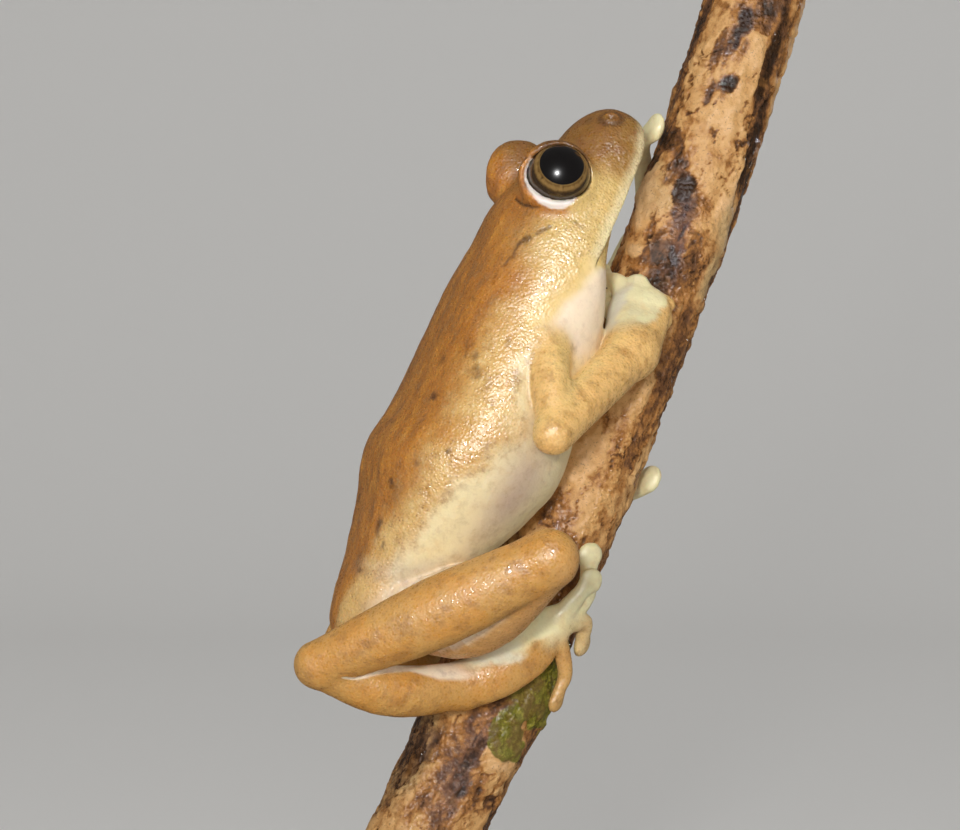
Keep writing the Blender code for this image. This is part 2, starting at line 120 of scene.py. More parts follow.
SHIN_RADII = (1.75, 2.15, 1.45)
TARSUS_RADII = (1.4, 1.6, 1.5)
ELBOW_CROOK = (2.35, -0.2, -1.5)
ARM_BOW = 0.4
SHIN_BOW = 0.5

# Palms, soles and digits, around the stem: height, angle, lift
PALM = {
    "right": ((4.5, 1, 2.1), (5.5, -4, 1.6), (6.6, -7, 1.1)),
    "left": ((7.4, -146, 2.2), (9.4, -151, 1.35), (11.6, -154, 0.95)),
}
PALM_WIDTHS = (1.15, 1.6, 1.75)
PALM_HEIGHTS = (1.2, 1.05, 0.75)
SOLE = {
    "right": ((-17.9, -18, 1.6), (-16.2, -1, 1.2), (-14.0, 14, 0.95), (-12.5, 25, 0.85)),
    "left": ((-16.4, -142, 2.2), (-14.2, -150, 1.3), (-12.0, -157, 1.0), (-10.4, -162, 0.85)),
}
SOLE_WIDTHS = (1.5, 1.7, 1.85, 1.3)
SOLE_HEIGHTS = (1.4, 1.05, 0.75, 0.5)
FINGERS = {
    "right": (
        ((5.6, -16, 0.9), (6.2, -32, 0.75), (6.6, -46, 0.65)),
        ((6.4, -18, 0.8), (7.8, -34, 0.75), (8.2, -62, 0.65)),
        ((6.4, -12, 0.8), (7.4, -15, 0.75), (8.0, -18, 0.65)),
        ((5.7, 8, 0.9), (6.6, 15, 0.8), (7.4, 11, 0.7)),
    ),
    "left": (
        ((9.4, -152, 0.9), (8.2, -150, 0.75), (7.0, -148, 0.65)),
        ((13.0, -156, 0.8), (16.0, -126, 0.8), (18.1, -62, 0.75)),
        ((12.0, -150, 0.8), (15.4, -164, 0.75), (18.0, -172, 0.65)),
        ((11.0, -156, 0.8), (13.0, -184, 0.75), (13.8, -206, 0.65)),
    ),
}
TOES = {
    "right": (
        ((-14.4, 6, 0.8), (-12.9, -4, 0.75), (-11.6, -14, 0.65)),
        ((-13.4, 22, 0.9), (-11.2, 30, 1.1), (-9.3, 38, 1.3)),
        ((-12.6, 30, 0.8), (-10.2, 47, 0.65), (-7.9, 34, 0.65)),
        ((-12.4, 30, 0.8), (-11.5, 55, 0.75), (-12.6, 73, 0.65)),
        ((-12.8, 33, 0.8), (-14.5, 56, 0.8), (-16.3, 61, 0.65)),
    ),
    "left": (
        ((-12.6, -150, 0.8), (-13.2, -178, 0.75), (-13.8, -198, 0.65)),
        ((-11.4, -158, 0.8), (-10.4, -190, 0.75), (-9.6, -216, 0.65)),
        ((-10.4, -162, 0.8), (-7.0, -184, 0.75), (-3.4, -200, 0.65)),
        ((-10.6, -164, 0.8), (-4.4, -198, 0.8), (-1.8, -243, 1.0)),
        ((-11.0, -158, 0.8), (-7.4, -150, 0.75), (-4.6, -143, 0.65)),
    ),
}
DIGIT_WIDTHS = (0.62, 0.54, 0.44, 0.74)
DIGIT_HEIGHTS = (0.55, 0.48, 0.42, 0.38)
DIGIT_NECK = 0.6
TANNED_DIGITS = {"hand_right": {3: 1.0}, "foot_right": {3: 0.6, 4: 0.9}}
WRIST_WIDTHS = {"right": (1.6, 1.9, 1.9), "left": (1.3, 1.4, 1.5)}
WRIST_HEIGHTS = (1.45, 1.25, 0.85)
DIGIT_SCALES = {
    "hand_right": (1.2, 1.2, 1.2, 1.1), "hand_left": (1.2, 1.35, 1.2, 1.2),
    "foot_right": (1.1, 1.2, 1.2, 1.15, 0.95), "foot_left": (1.1, 1.1, 1.1, 1.35, 1.1),
}

# Width of the soft seam where each kind of piece joins, and its reach and widest seam at its joint
LIMB_BLEND = 0.2
PALM_BLEND = 0.14
WRIST_BLEND = 0.5
DIGIT_BLEND = 0.1
PALM_JOINT = (1.6, 0.6)
WRIST_JOINT = (2.4, 1.3)
DIGIT_JOINT = (2.2, 0.45)

# Stem
STEM_OFFSET = 8.1
STEM_SLOPE = 0.40
STEM_CURVE = -0.0016
STEM_DEPTH = 5.0
STEM_RADIUS = 3.45
STEM_TAPER = -0.005
STEM_NODE_HEIGHT = -17.5
STEM_NODE_SWELL = 0.45
STEM_NODE_SPREAD = 3.5
STEM_BOTTOM = -30.0
STEM_TOP = 32.0
STEM_CLEARANCE = 0.14
STEM_WINDOW = 4.0
STEM_REACH = 4.6
CUT_FACE = (0.985, 0.93, 0.75, 0.5, 0.2)

# Head details
MOUTH_LINE = np.array(((26.7, -0.85), (34.6, -0.75), (36.4, -0.5), (39.0, 0.0)))
JAW_SLOPE = 0.39
JAW_INSET = 1.6
JAW_RAISE = 0.25
JAW_INSET_LENGTH = 3.5
LIP_BLEND = 0.12
LID_WINDOW = 4.2
LID_SEAM = 0.3
LID_BLEND = 0.7
OPENING_BLEND = 0.12
SOCKET_SHARE = 0.6
EYE_CLEARANCE = 0.03
LID_RADII = (2.3, 2.45, 1.9)
LID_SETBACK = {"right": 0.3, "left": -0.05}
LID_THICKNESS = 0.13
LOWER_LID_THICKNESS = 0.30
EYE_GAZE = (0.05, 0.27, 0.96)
PUPIL_GAZE = (0.29, 0.385, 0.876)
EYE_LONG_WAY = (0.5, -0.866, 0.25)
OPENING = (1.97, 1.73)

# Width of the white crescent and of the orange strip outside it, by the angle round the eye's opening
CRESCENT = (
    (-212, 0.0), (-203, 0.18), (-190, 0.27), (-160, 0.35), (-135, 0.47), (-105, 0.64),
    (-85, 0.58), (-65, 0.28),
    (-52, 0.0),
)
LID_STRIP = ((-218, 0.0), (-200, 0.30), (-165, 0.42), (-140, 0.46), (-125, 0.30), (-116, 0.0))
NOSTRIL = (36.2, 2.0, 1.95)

# Studio, in metres: lamps by their power's setting, with their size, place, and target or pieces
MIDDLE = (0.0, 0.0, EYE_LEVEL * METRES)
BY_CAMERA = (-0.022, -0.215, 0.068)
SOFT_LAMPS = {
    "key": (0.42, (-0.08, -0.88, 0.10), MIDDLE),
    "fill": (0.50, (0.80, -0.45, 0.20), MIDDLE),
    "wash": (1.0, (0.0, -0.1, 1.3), (0.0, 0.7, 0.2)),
    "flash": (0.018, BY_CAMERA, MIDDLE),
}
STEM_AND_STAND = ("stem_bark", "stand_base", "stand_rod")
GLINT_LAMPS = {
    "catchlight": ("sparkle", 0.012, BY_CAMERA, ("eyeball_right", "eyeball_left")),
    "flank_sparkle": ("glints", 0.010, (-0.062, -0.200, 0.080), ("frog_skin", *STEM_AND_STAND)),
    "cheek_sparkle": ("glints", 0.010, (0.032, -0.195, 0.122), ("frog_skin", *STEM_AND_STAND)),
    "back_sparkle": ("sparkle", 0.03, (0.30, 0.42, 0.20), STEM_AND_STAND),
}
WORLD_COLOUR = (1.0, 0.98, 0.95, 1.0)
WORLD_STRENGTH = 0.09
SENSOR_WIDTH = 36.0
CAMERA_CLIP = (0.005, 20.0)
BACKDROP_HALF = 4.0
BACKDROP_DEPTH = 0.75
BACKDROP_HEIGHT = 2.2
BACKDROP_BEND = 0.35

SIDES = ("right", "left")
ARM_PARTS = ("upper_arm_", "forearm_", "wrist_", "hand_")
FLESH = (
    "torso", "head", "lower_jaw",
    *(name + side for side in SIDES for name in (
        "upper_arm_", "forearm_", "hand_", "thigh_", "shin_", "tarsus_", "foot_",
    )),
)

# Modelling: cells round a surface, room round the flesh, smoothing rounds, how far a part's share reaches
BAND = 9
SKIN_MARGIN = 1.0
SKIN_ROUNDS = 3
SHARE_REACH = 0.16
HASH = (73856093, 19349663, 83492791, 2654435)
CORNEA_RISE = 0.015
CORNEA_SPREAD = 0.6
EYE_RINGS = 97
EYE_SIDES = 128

# Dark marks on the body: forward, angle above the level of the widest point, size, strength
LINE_MARKS = ((27.6, 38), (26.6, 43), (25.6, 47), (24.6, 47), (23.6, 46), (22.9, 52), (22.2, 58), (21.2, 70))
SPOT_MARKS = (
    (21.1, 55, 0.4, 0.7), (18.3, 40, 0.75, 1.0), (17.2, 30, 0.7, 0.9), (15.0, 49, 0.5, 0.8),
    (17.2, 57, 0.55, 0.55), (11.9, 26, 0.45, 0.8), (9.2, 55, 0.5, 0.9), (8.7, 45, 0.6, 0.9),
    (17.8, 9, 0.5, 0.5), (6.4, 45, 0.6, 0.7), (13.2, 62, 0.6, 0.5), (5.2, 30, 0.5, 0.6),
    (10.6, 38, 0.45, 0.6), (20.0, 22, 0.4, 0.5), (3.4, 48, 0.6, 0.6), (7.5, 70, 0.7, 0.6),
    (24.2, 22, 0.4, 0.55), (25.6, 30, 0.35, 0.5), (22.0, 84, 0.6, 0.4), (12.0, 82, 0.8, 0.5),
)
HIP_LINE = ((9.4, 55), (8.6, 47), (7.6, 44), (6.2, 36), (5.0, 33))
FACE_MARKS = (
    (35.2, 1.5, 2.6, 0.42, 0.55), (34.3, 1.6, 3.3, 0.5, 0.5), (34.9, 2.9, 1.9, 0.5, 0.5),
    (33.1, 1.9, 3.9, 0.4, 0.6), (28.6, 1.2, 5.4, 0.35, 0.6), (29.5, 0.6, 5.1, 0.3, 0.5),
    (27.0, 0.6, 5.9, 0.35, 0.4), (35.4, 3.0, 1.2, 0.5, 0.7),
)

# Edges of the belly and of the orange back: forward, angle above the widest level. The back's own orange
# brown reaches low and fades over a wide band, and this band also paints the shade falling off towards the
# back's outline
BELLY_EDGE = (
    (2.2, 10), (3.5, 12), (6.1, 18), (8.6, 19), (10.7, 12), (12.6, 5), (14.6, -2), (17.1, 2), (19.4, 7),
    (21.7, 9), (23.6, 8), (25.4, 4), (27.0, -1), (28.0, -30),
)
BACK_EDGE = (
    (2.0, 60), (5.5, 50), (7.4, 43), (9.5, 36), (13.8, 32), (17.7, 37), (20.0, 34), (22.5, 29),
    (25.0, 34), (27.0, 40),
    (30.0, 40), (33.0, 26), (37.0, 16),
)

# Where the pale inner side of each limb piece begins and is full, as cosines from its outer side
INNER_EDGES = {
    "upper_arm_": (-0.3, 0.9), "forearm_": (-0.65, 0.1), "thigh_": (0.6, 1.4), "shin_": (-0.8, -0.45),
}

# Tan outer edge of the right hand and foot: height, offset of the edge, and angle of the middle
TAN_EDGES = {
    "hand": ((3.0, 0.0, -26), (4.3, 0.3, -16), (5.2, 0.7, -10), (6.5, 0.7, -4), (7.9, 0.5, 3)),
    "foot": ((-18.0, -0.9, -17), (-16.8, -0.8, -2), (-16.0, -0.5, 6), (-14.2, -0.2, 16), (-12.6, 0.0, 26)),
}

# Pale strip along the tarsus from the heel: forward, up, outward
TARSUS_STRIP = ((-2.9, -0.3, 6.2), (-1.7, -2.1, 5.4), (-0.6, -4.0, 4.5), (0.3, -5.8, 4.6), (1.7, -7.8, 4.2))

# Pale ridge on the back of the right hand, height and angle, and the height below which the sole is thin
HAND_RIDGE = ((4.2, -9), (5.3, -12), (6.1, -13), (7.0, -15), (9.2, -23))
SOLE_WEB = -14.6


def unit(vectors):
    """Vectors of length one along the last axis."""
    return vectors / np.linalg.norm(vectors, axis=-1, keepdims=True)


def upright(points):
    """Leans points of the upright frame back and lifts them above the base."""
    x, y, z = np.moveaxis(np.asarray(points, float), -1, 0)
    sine, cosine = math.sin(LEAN), math.cos(LEAN)
    return np.stack((x, y * cosine + z * sine, z * cosine - y * sine + EYE_LEVEL), axis=-1)


def downright(points):
    """Places in the upright frame of points of the world."""
    x, y, z = np.moveaxis(np.asarray(points, float), -1, 0)
    z = z - EYE_LEVEL
    sine, cosine = math.sin(LEAN), math.cos(LEAN)
    return np.stack(np.broadcast_arrays(x, y * cosine - z * sine, z * cosine + y * sine), axis=-1)


FORWARD = np.array((math.cos(PITCH), 0.0, math.sin(PITCH)))
RISE = np.array((-math.sin(PITCH), 0.0, math.cos(PITCH)))
NEAR = np.array((0.0, -1.0, 0.0))
FROG_AXES = np.array((
    FORWARD,
    RISE * math.cos(ROLL) + NEAR * math.sin(ROLL),
    NEAR * math.cos(ROLL) - RISE * math.sin(ROLL),
))


def frog(points):
    """World places of (forward, up, right) points."""
    return upright(VENT + np.asarray(points, float) @ FROG_AXES)


def frog_places(points):
    """(forward, up, right) of world points."""
    return (downright(points) - VENT) @ FROG_AXES.T


def frog_way(direction):
    """World direction of a (forward, up, right) one."""
    return unit(frog(direction) - frog((0.0, 0.0, 0.0)))


def sided(point, side):
    """A (forward, up, outward) point as (forward, up, right)."""
    return np.array(point, float) * (1, 1, 1 if side == "right" else -1)


def stem_frame(height):
    """Axis point, and the directions to the near side and to the right, at a height."""
    height = np.asarray(height, float)
    slope = STEM_SLOPE + 2 * STEM_CURVE * height
    axis = np.stack((
        STEM_OFFSET + STEM_SLOPE * height + STEM_CURVE * height ** 2,
        np.full_like(height, STEM_DEPTH),
        height,
    ), axis=-1)
    right = unit(np.stack((np.ones_like(height), np.zeros_like(height), -slope), axis=-1))
    return axis, np.broadcast_to(NEAR, right.shape), right


def stem_radius(height):
    """The stem's radius, swollen at the node."""
    swell = STEM_NODE_SWELL * np.exp(-((height - STEM_NODE_HEIGHT) / STEM_NODE_SPREAD) ** 2)
    return STEM_RADIUS + STEM_TAPER * height + swell


def outward(points):
    """Directions away from the stem's axis at (height, angle, lift) points."""
    height, angle, _ = np.moveaxis(np.asarray(points, float), -1, 0)
    _, near, right = stem_frame(height)
    angle = np.radians(angle)[..., None]
    return near * np.cos(angle) + right * np.sin(angle)


def around_stem(points):
    """World places of (height, angle, lift) points."""
    height, _, lift = np.moveaxis(np.asarray(points, float), -1, 0)
    axis = stem_frame(height)[0]
    return upright(axis + (stem_radius(height) + lift)[..., None] * outward(points))


def stem_places(points):
    """(height, angle, lift) of world points near the stem."""
    flat = downright(points)
    height = flat[..., 2]
    for _ in range(3):
        axis, _, right = stem_frame(height)
        along = np.cross(right, NEAR)
        height = height + np.sum((flat - axis) * along, axis=-1) * along[..., 2]
    axis, near, right = stem_frame(height)
    away = flat - axis
    ahead = np.sum(away * near, axis=-1)
    aside = np.sum(away * right, axis=-1)
    return height, np.degrees(np.arctan2(aside, ahead)), np.hypot(ahead, aside) - stem_radius(height)


def through(values, steps):
    """Catmull-Rom samples through rows of values, with a number of steps to a span."""
    values = np.asarray(values, float)
    before = 2 * values[:1] - values[1:2]
    after = 2 * values[-1:] - values[-2:-1]
    padded = np.concatenate((before, values, after))
    samples = []
    for a, b, c, d in zip(padded, padded[1:], padded[2:], padded[3:]):
        for step in range(steps):
            t = step / steps
            curve = 2 * b + (c - a) * t + (2 * a - 5 * b + 4 * c - d) * t ** 2
            samples.append((curve + (3 * b - a - 3 * c + d) * t ** 3) / 2)
    samples.append(values[-1])
    return np.array(samples)


def ease(low, high, values):
    """Smooth step from 0 at low to 1 at high."""
    t = np.clip((values - low) / (high - low), 0.0, 1.0)
    return t * t * (3 - 2 * t)


def grain(points, size, seed=0):
    """Smooth noise from -1 to 1 at points, with features of a size."""
    places = points / size + 17.3 * seed
    corner = np.floor(places).astype(np.int64)
    part = places - corner
    part = part ** 3 * (part * (part * 6 - 15) + 10)
    total = np.zeros(len(points))
    for step in itertools.product((0, 1), repeat=3):
        x, y, z = (corner + step).T
        mixed = (x * HASH[0]) ^ (y * HASH[1]) ^ (z * HASH[2]) ^ (seed * HASH[3])
        mixed = (mixed * 1103515245 + 12345) & 0x7FFFFFFF
        mixed = ((mixed >> 15) ^ mixed) * 2246822519 & 0x7FFFFFFF
        value = (mixed >> 8 & 0xFFFF) / 32767.5 - 1
        total += value * np.prod(np.where(step, part, 1 - part), axis=1)
    return total


def layered(points, size, octaves=3, seed=0):
    """Noise with finer and fainter layers added to it."""
    total = np.zeros(len(points))
    for octave in range(octaves):
        total += grain(points, size / 2 ** octave, seed + octave) / 2 ** octave
    return total


def near_line(points, line):
    """Distance from points to a polyline, and how far along it the nearest place is, from 0 to 1."""
    line = np.asarray(line, float)
    best = np.full(len(points), np.inf)
    share = np.zeros(len(points))
    for number, (start, end) in enumerate(zip(line, line[1:])):
        run = end - start
        t = np.clip((points - start) @ run / (run @ run), 0, 1)
        gap = np.linalg.norm(points - start - t[:, None] * run, axis=1)
        nearer = gap < best
        best = np.where(nearer, gap, best)
        share = np.where(nearer, (number + t) / (len(line) - 1), share)
    return best, share


def loft(rings, tips=(None, None)):
    """Points, quads and triangles of a closed body through equal rings, drawn to a point at each end."""
    rings = np.asarray(rings)
    count, sides, _ = rings.shape
    ends = [ring.mean(axis=0) if tip is None else tip for tip, ring in zip(tips, (rings[0], rings[-1]))]
    points = np.concatenate((rings.reshape(-1, 3), ends))
    here = np.arange(sides)
    following = np.roll(here, -1)
    start = sides * np.arange(count - 1)[:, None]
    near = (start + here, start + following)
    quads = np.stack((*near, near[1] + sides, near[0] + sides), axis=-1)
    first, last = count * sides, count * sides + 1
    final = sides * (count - 1)
    caps = np.concatenate((
        np.stack((following, here, np.full(sides, first)), axis=-1),
        np.stack((final + here, final + following, np.full(sides, last)), axis=-1),
    ))
    return points, quads.reshape(-1, 4), caps


def body_ring(forward, inset=0.0, sides=96):
    """One ring of the body and head at a distance from the vent, narrowed by an inset."""
    slopes = np.gradient(BODY[:, 1:], BODY[:, 0], axis=0)
    at = min(max(forward, BODY[0, 0]), BODY[-1, 0])
    row = min(max(int(np.searchsorted(BODY[:, 0], at)) - 1, 0), len(BODY) - 2)
    span = BODY[row + 1, 0] - BODY[row, 0]
    t = (at - BODY[row, 0]) / span
    values = (
        (2 * t ** 3 - 3 * t ** 2 + 1) * BODY[row, 1:]
        + (t ** 3 - 2 * t ** 2 + t) * span * slopes[row]
        + (3 * t ** 2 - 2 * t ** 3) * BODY[row + 1, 1:]
        + (t ** 3 - t ** 2) * span * slopes[row + 1]
    )
    top, bottom, half_width, level = values
    bottom = bottom + JAW_RAISE * inset
    scale = 1.0
    for start, end in (VENT_ROUNDING, SNOUT_ROUNDING):
        reach = (forward - start) / (end - start)
        power = BLUNTNESS if end > start else 2.0
        if reach > 0:
            scale *= max(0.0, 1 - reach ** power) ** (1 / power)
    turn = np.linspace(0, 2 * math.pi, sides, endpoint=False)
    side = np.sign(np.cos(turn)) * np.abs(np.cos(turn)) ** (2 / FULLNESS)
    rise = np.sign(np.sin(turn)) * np.abs(np.sin(turn)) ** (2 / FULLNESS)
    height = np.where(rise > 0, top - level, level - bottom)
    return np.stack((
        np.full(sides, forward),
        level + scale * height * rise,
        scale * (half_width - inset) * side,
    ), axis=-1)


def body_shape(inset=0.0):
    """The body and head as one closed shape, narrowed by an inset ahead of the corner of the mouth."""
    swing = np.radians(np.linspace(4, 86, 22))
    back, tail = VENT_ROUNDING
    front, snout = SNOUT_ROUNDING
    places = [*(back + (tail - back) * np.cos(swing)), *np.linspace(back, front, 120)]
    places += [*(front + (snout - front) * np.cos(swing[::-1]))]
    rings = []
    for place in places:
        ahead = min(max((place - MOUTH_LINE[0, 0]) / JAW_INSET_LENGTH, 0.0), 1.0)
        rings.append(frog(body_ring(place, inset * ahead)))
    tips = (frog((tail, BODY[0, 4], 0.0)), frog((snout, BODY[-1, 4], 0.0)))
    return loft(rings, tips)


def body_mark(forward, angle, side):
    """The place on the body's surface at a distance from the vent and an angle above its widest level."""
    ring = body_ring(forward)
    level = np.interp(forward, BODY[:, 0], BODY[:, 4])
    way = np.degrees(np.arctan2(ring[:, 1] - level, ring[:, 2]))
    return ring[np.argmin(np.abs(way - angle))] * (1, 1, 1 if side == "right" else -1)


def tube(path, widths, heights, ups, steps=6, sides=36):
    """A round-ended closed shape along a path, with half widths and half heights at its points."""
    centres = through(path, steps)
    wide = through(widths, steps)
    high = through(heights, steps)
    along = unit(np.gradient(centres, axis=0))
    across = unit(np.cross(through(ups, steps), along))
    upward = np.cross(along, across)
    turn = np.linspace(0, 2 * math.pi, sides, endpoint=False)[:, None]

    def ring(index, angle=0.0, way=1):
        section = wide[index] * np.cos(turn) * across[index]
        section = section + high[index] * np.sin(turn) * upward[index]
        reach = way * math.sin(angle) * wide[index]
        return centres[index] + reach * along[index] + math.cos(angle) * section

    domes = np.radians(np.linspace(80, 10, 8))
    last = len(centres) - 1
    rings = [ring(0, angle, -1) for angle in domes]
    rings += [ring(index) for index in range(last + 1)]
    rings += [ring(last, angle) for angle in reversed(domes)]
    tips = (centres[0] - wide[0] * along[0], centres[last] + wide[last] * along[last])
    return loft(rings, tips)


def limb_path(side, points, bow=0.0):
    """World path of a limb piece between joints, bowed outward if it has no middle point."""
    path = [sided(point, side) for point in points]
    if len(path) == 2:
        path.insert(1, (path[0] + path[1]) / 2 + sided((0.0, 0.0, bow), side))
    return frog(path)


def limb_pieces(side):
    """Each limb piece of a side: name, path, radii, its outer side, and how it blends at its joints."""
    crook = np.add(ELBOW[side], ELBOW_CROOK)
    tarsus_middle = np.add(HEEL[side], TARSUS_END[side]) / 2 + TARSUS_SAG[side]
    return (
        ("upper_arm_", limb_path(side, (SHOULDER, ELBOW[side]), ARM_BOW), UPPER_ARM_RADII,
         (-0.5, 0.3, 0.8), ((SHOULDER, 2.4, 1.2),)),
        ("forearm_", limb_path(side, (ELBOW[side], WRIST[side])), FOREARM_RADII,
         (-0.25, -0.7, 0.65), ((crook, 2.0, 1.1),)),
        ("thigh_", limb_path(side, (HIP, THIGH_MIDDLE[side], KNEE[side])), THIGH_RADII,
         (0.0, 0.2, 1.0), ((HIP, 3.0, 1.0),)),
        ("shin_", limb_path(side, (KNEE[side], HEEL[side]), SHIN_BOW), SHIN_RADII,
         (0.1, 0.5, 0.86), ((KNEE[side], 1.8, 0.6),)),
        ("tarsus_", limb_path(side, (HEEL[side], tarsus_middle, TARSUS_END[side])), TARSUS_RADII,
         (-0.75, -0.45, 0.5), ((HEEL[side], 1.5, 0.5),)),
    )


def wrist_shape(side):
    """The forearm's end widening into the back of the hand."""
    wrist = frog(sided(WRIST[side], side))
    start = np.ravel(stem_places(wrist))
    palm = np.array(PALM[side])[1:]
    path = np.array((wrist, *around_stem(palm)))
    return tube(path, WRIST_WIDTHS[side], WRIST_HEIGHTS, outward((start, *palm)), steps=16, sides=72)


def digit_path(points):
    """Stem places along a digit, with the neck behind its disc."""
    root, middle, tip = np.asarray(points, float)
    return np.array((root, middle, middle + (tip - middle) * DIGIT_NECK, tip))


def grips(side):
    """Each hand and foot of a side: name, palm, half widths, half heights, digits and its joint."""
    return (
        ("foot_" + side, SOLE[side], SOLE_WIDTHS, SOLE_HEIGHTS, TOES[side], TARSUS_END[side]),
        ("hand_" + side, PALM[side], PALM_WIDTHS, PALM_HEIGHTS, FINGERS[side], WRIST[side]),
    )


class Clay:
    """Distances from a surface on a grid of cells, in millimetres and negative inside, to model in."""

    def __init__(self, low, high, cell):
        self.cell = cell
        self.first = np.floor(np.asarray(low) / cell).astype(int)
        self.shape = np.ceil(np.asarray(high) / cell).astype(int) - self.first + 1
        self.reach = BAND * cell
        self.values = np.full(self.shape, self.reach, np.float32)
        self.transform = openvdb.createLinearTransform(voxelSize=cell)
        self.kept = {}

    def window(self, low, high):
        """The part of the grid between two corners, in cells from its first."""
        low = np.maximum(low, 0)
        high = np.minimum(high, self.shape)
        return tuple(slice(a, b) for a, b in zip(low, high))

    def places(self, window):
        """World places of the cells of a window, as three arrays that broadcast."""
        spans = zip(window, self.first)
        axes = [(np.arange(part.start, part.stop) + first) * self.cell for part, first in spans]
        return np.meshgrid(*axes, indexing="ij", sparse=True)

    def distances(self, shape):
        """The window that a closed shape reaches, and the distances from the shape there."""
        points, quads, triangles = shape
        grid = openvdb.FloatGrid.createLevelSetFromPolygons(
            points, triangles=triangles.astype(np.uint32), quads=quads.astype(np.uint32),
            transform=self.transform, halfWidth=float(BAND),
        )
        low, high = (np.array(corner) for corner in grid.evalActiveVoxelBoundingBox())
        window = self.window(low - self.first, high - self.first + 1)
        values = np.empty([part.stop - part.start for part in window], np.float32)
        corner = tuple(int(part.start + first) for part, first in zip(window, self.first))
        grid.copyToArray(values, ijk=corner)
        return window, values

    def softness(self, window, blend, joints):
        """How widely a new shape blends in over a window: a base width, wider near each joint."""
        if not joints:
            return blend
        x, y, z = self.places(window)
        widest = np.float32(blend)
        for centre, spread, width in joints:
            gap = (x - centre[0]) ** 2 + (y - centre[1]) ** 2 + (z - centre[2]) ** 2
            widest = np.maximum(widest, blend + (width - blend) * np.exp(-gap / spread ** 2))
        return widest

    def join(self, window, values, blend, joints=()):
        """Smooth union of the clay and new distances in a window."""
        old = self.values[window]
        blend = self.softness(window, blend, joints)
        share = np.clip(0.5 + 0.5 * (old - values) / blend, 0, 1)
        worn = np.clip(2 - 2 * np.maximum(old, values) / self.reach, 0, 1)
        self.values[window] = old + (values - old) * share - blend * share * (1 - share) * worn

    def add(self, name, shape, blend, joints=()):
        """Joins a closed shape on, and keeps its distances by name for later masks."""
        window, values = self.distances(shape)
        self.kept[name] = (window, values)
        self.join(window, values, blend, joints)

    def cut(self, window, values, blend=0.0):
        """Smooth cut of the clay by distances in a window."""
        old = self.values[window]
        self.values[window] = -softer(-old, values, blend) if blend else np.maximum(old, -values)

    def around(self, centre, reach):
        """The window of a cube round a point."""
        middle = np.asarray(centre) / self.cell - self.first
        size = reach / self.cell
        return self.window(np.floor(middle - size).astype(int), np.ceil(middle + size).astype(int))

    def distance_at(self, name, points):
        """Distances from a kept shape at points."""
        window, values = self.kept[name]
        places = points / self.cell - self.first - [part.start for part in window]
        inside = np.all((places >= 0) & (places <= np.array(values.shape) - 1.001), axis=1)
        corner = np.clip(np.floor(places).astype(int), 0, np.array(values.shape) - 2)
        part = np.clip(places - corner, 0, 1)
        total = np.zeros(len(points))
        for step in itertools.product((0, 1), repeat=3):
            weight = np.prod(np.where(step, part, 1 - part), axis=1)
            total += weight * values[tuple((corner + step).T)]
        return np.where(inside, total, self.reach)

    def surface(self):
        """Points and quads of the surface."""
        grid = openvdb.FloatGrid(self.reach)
        grid.transform = self.transform
        grid.copyFromArray(self.values, ijk=tuple(int(first) for first in self.first))
        return grid.convertToQuads(isovalue=0.0)


def along(places, start, way):
    """How far places, given as three arrays, lie from a start along a direction."""
    x, y, z = places
    return (x - start[0]) * way[0] + (y - start[1]) * way[1] + (z - start[2]) * way[2]


def softer(first, second, blend):
    """The lesser of two distances, with a soft seam of a width."""
    share = np.clip(0.5 + 0.5 * (first - second) / blend, 0, 1)
    return first + (second - first) * share - blend * share * (1 - share)


def ovoid(places, centre, radii, axes):
    """Distances from an ellipsoid with half lengths along three axes."""
    near = 0.0
    far = 0.0
    for radius, axis in zip(radii, axes):
        reach = along(places, centre, axis)
        near = near + (reach / radius) ** 2
        far = far + (reach / radius ** 2) ** 2
    near = np.sqrt(near)
    return near * (near - 1) / np.maximum(np.sqrt(far), 1e-6)


def relaxed(points, faces, rounds):
    """Points smoothed over their neighbours without shrinking."""
    edges = np.concatenate([np.stack((faces[:, i], faces[:, i - 1]), axis=1) for i in range(faces.shape[1])])
    count = np.bincount(edges[:, 0], minlength=len(points)) + np.bincount(edges[:, 1], minlength=len(points))
    for _ in range(rounds):
        for share in (0.5, -0.53):
            total = np.empty_like(points)
            for axis in range(3):
                total[:, axis] = np.bincount(edges[:, 0], points[edges[:, 1], axis], len(points))
                total[:, axis] += np.bincount(edges[:, 1], points[edges[:, 0], axis], len(points))
            points = points + share * (total / np.maximum(count, 1)[:, None] - points)
    return points


def largest(points, faces):
    """Only the largest connected part of a mesh."""
    label = np.arange(len(points))
    while True:
        least = label[faces].min(axis=1)
        new = label.copy()
        for i in range(faces.shape[1]):
            np.minimum.at(new, faces[:, i], least)
        new = new[new]
        if np.array_equal(new, label):
            break
        label = new
    keep = label == np.bincount(label).argmax()
    index = np.cumsum(keep) - 1
    return points[keep], index[faces[keep[faces[:, 0]]]]


def corner_normals(points, faces):
    """Outward directions at the points of a closed mesh of quads."""
    across = np.cross(points[faces[:, 2]] - points[faces[:, 0]], points[faces[:, 3]] - points[faces[:, 1]])
    total = np.zeros_like(points)
    for i in range(faces.shape[1]):
        for axis in range(3):
            total[:, axis] += np.bincount(faces[:, i], across[:, axis], len(points))
    return unit(total + 1e-12)


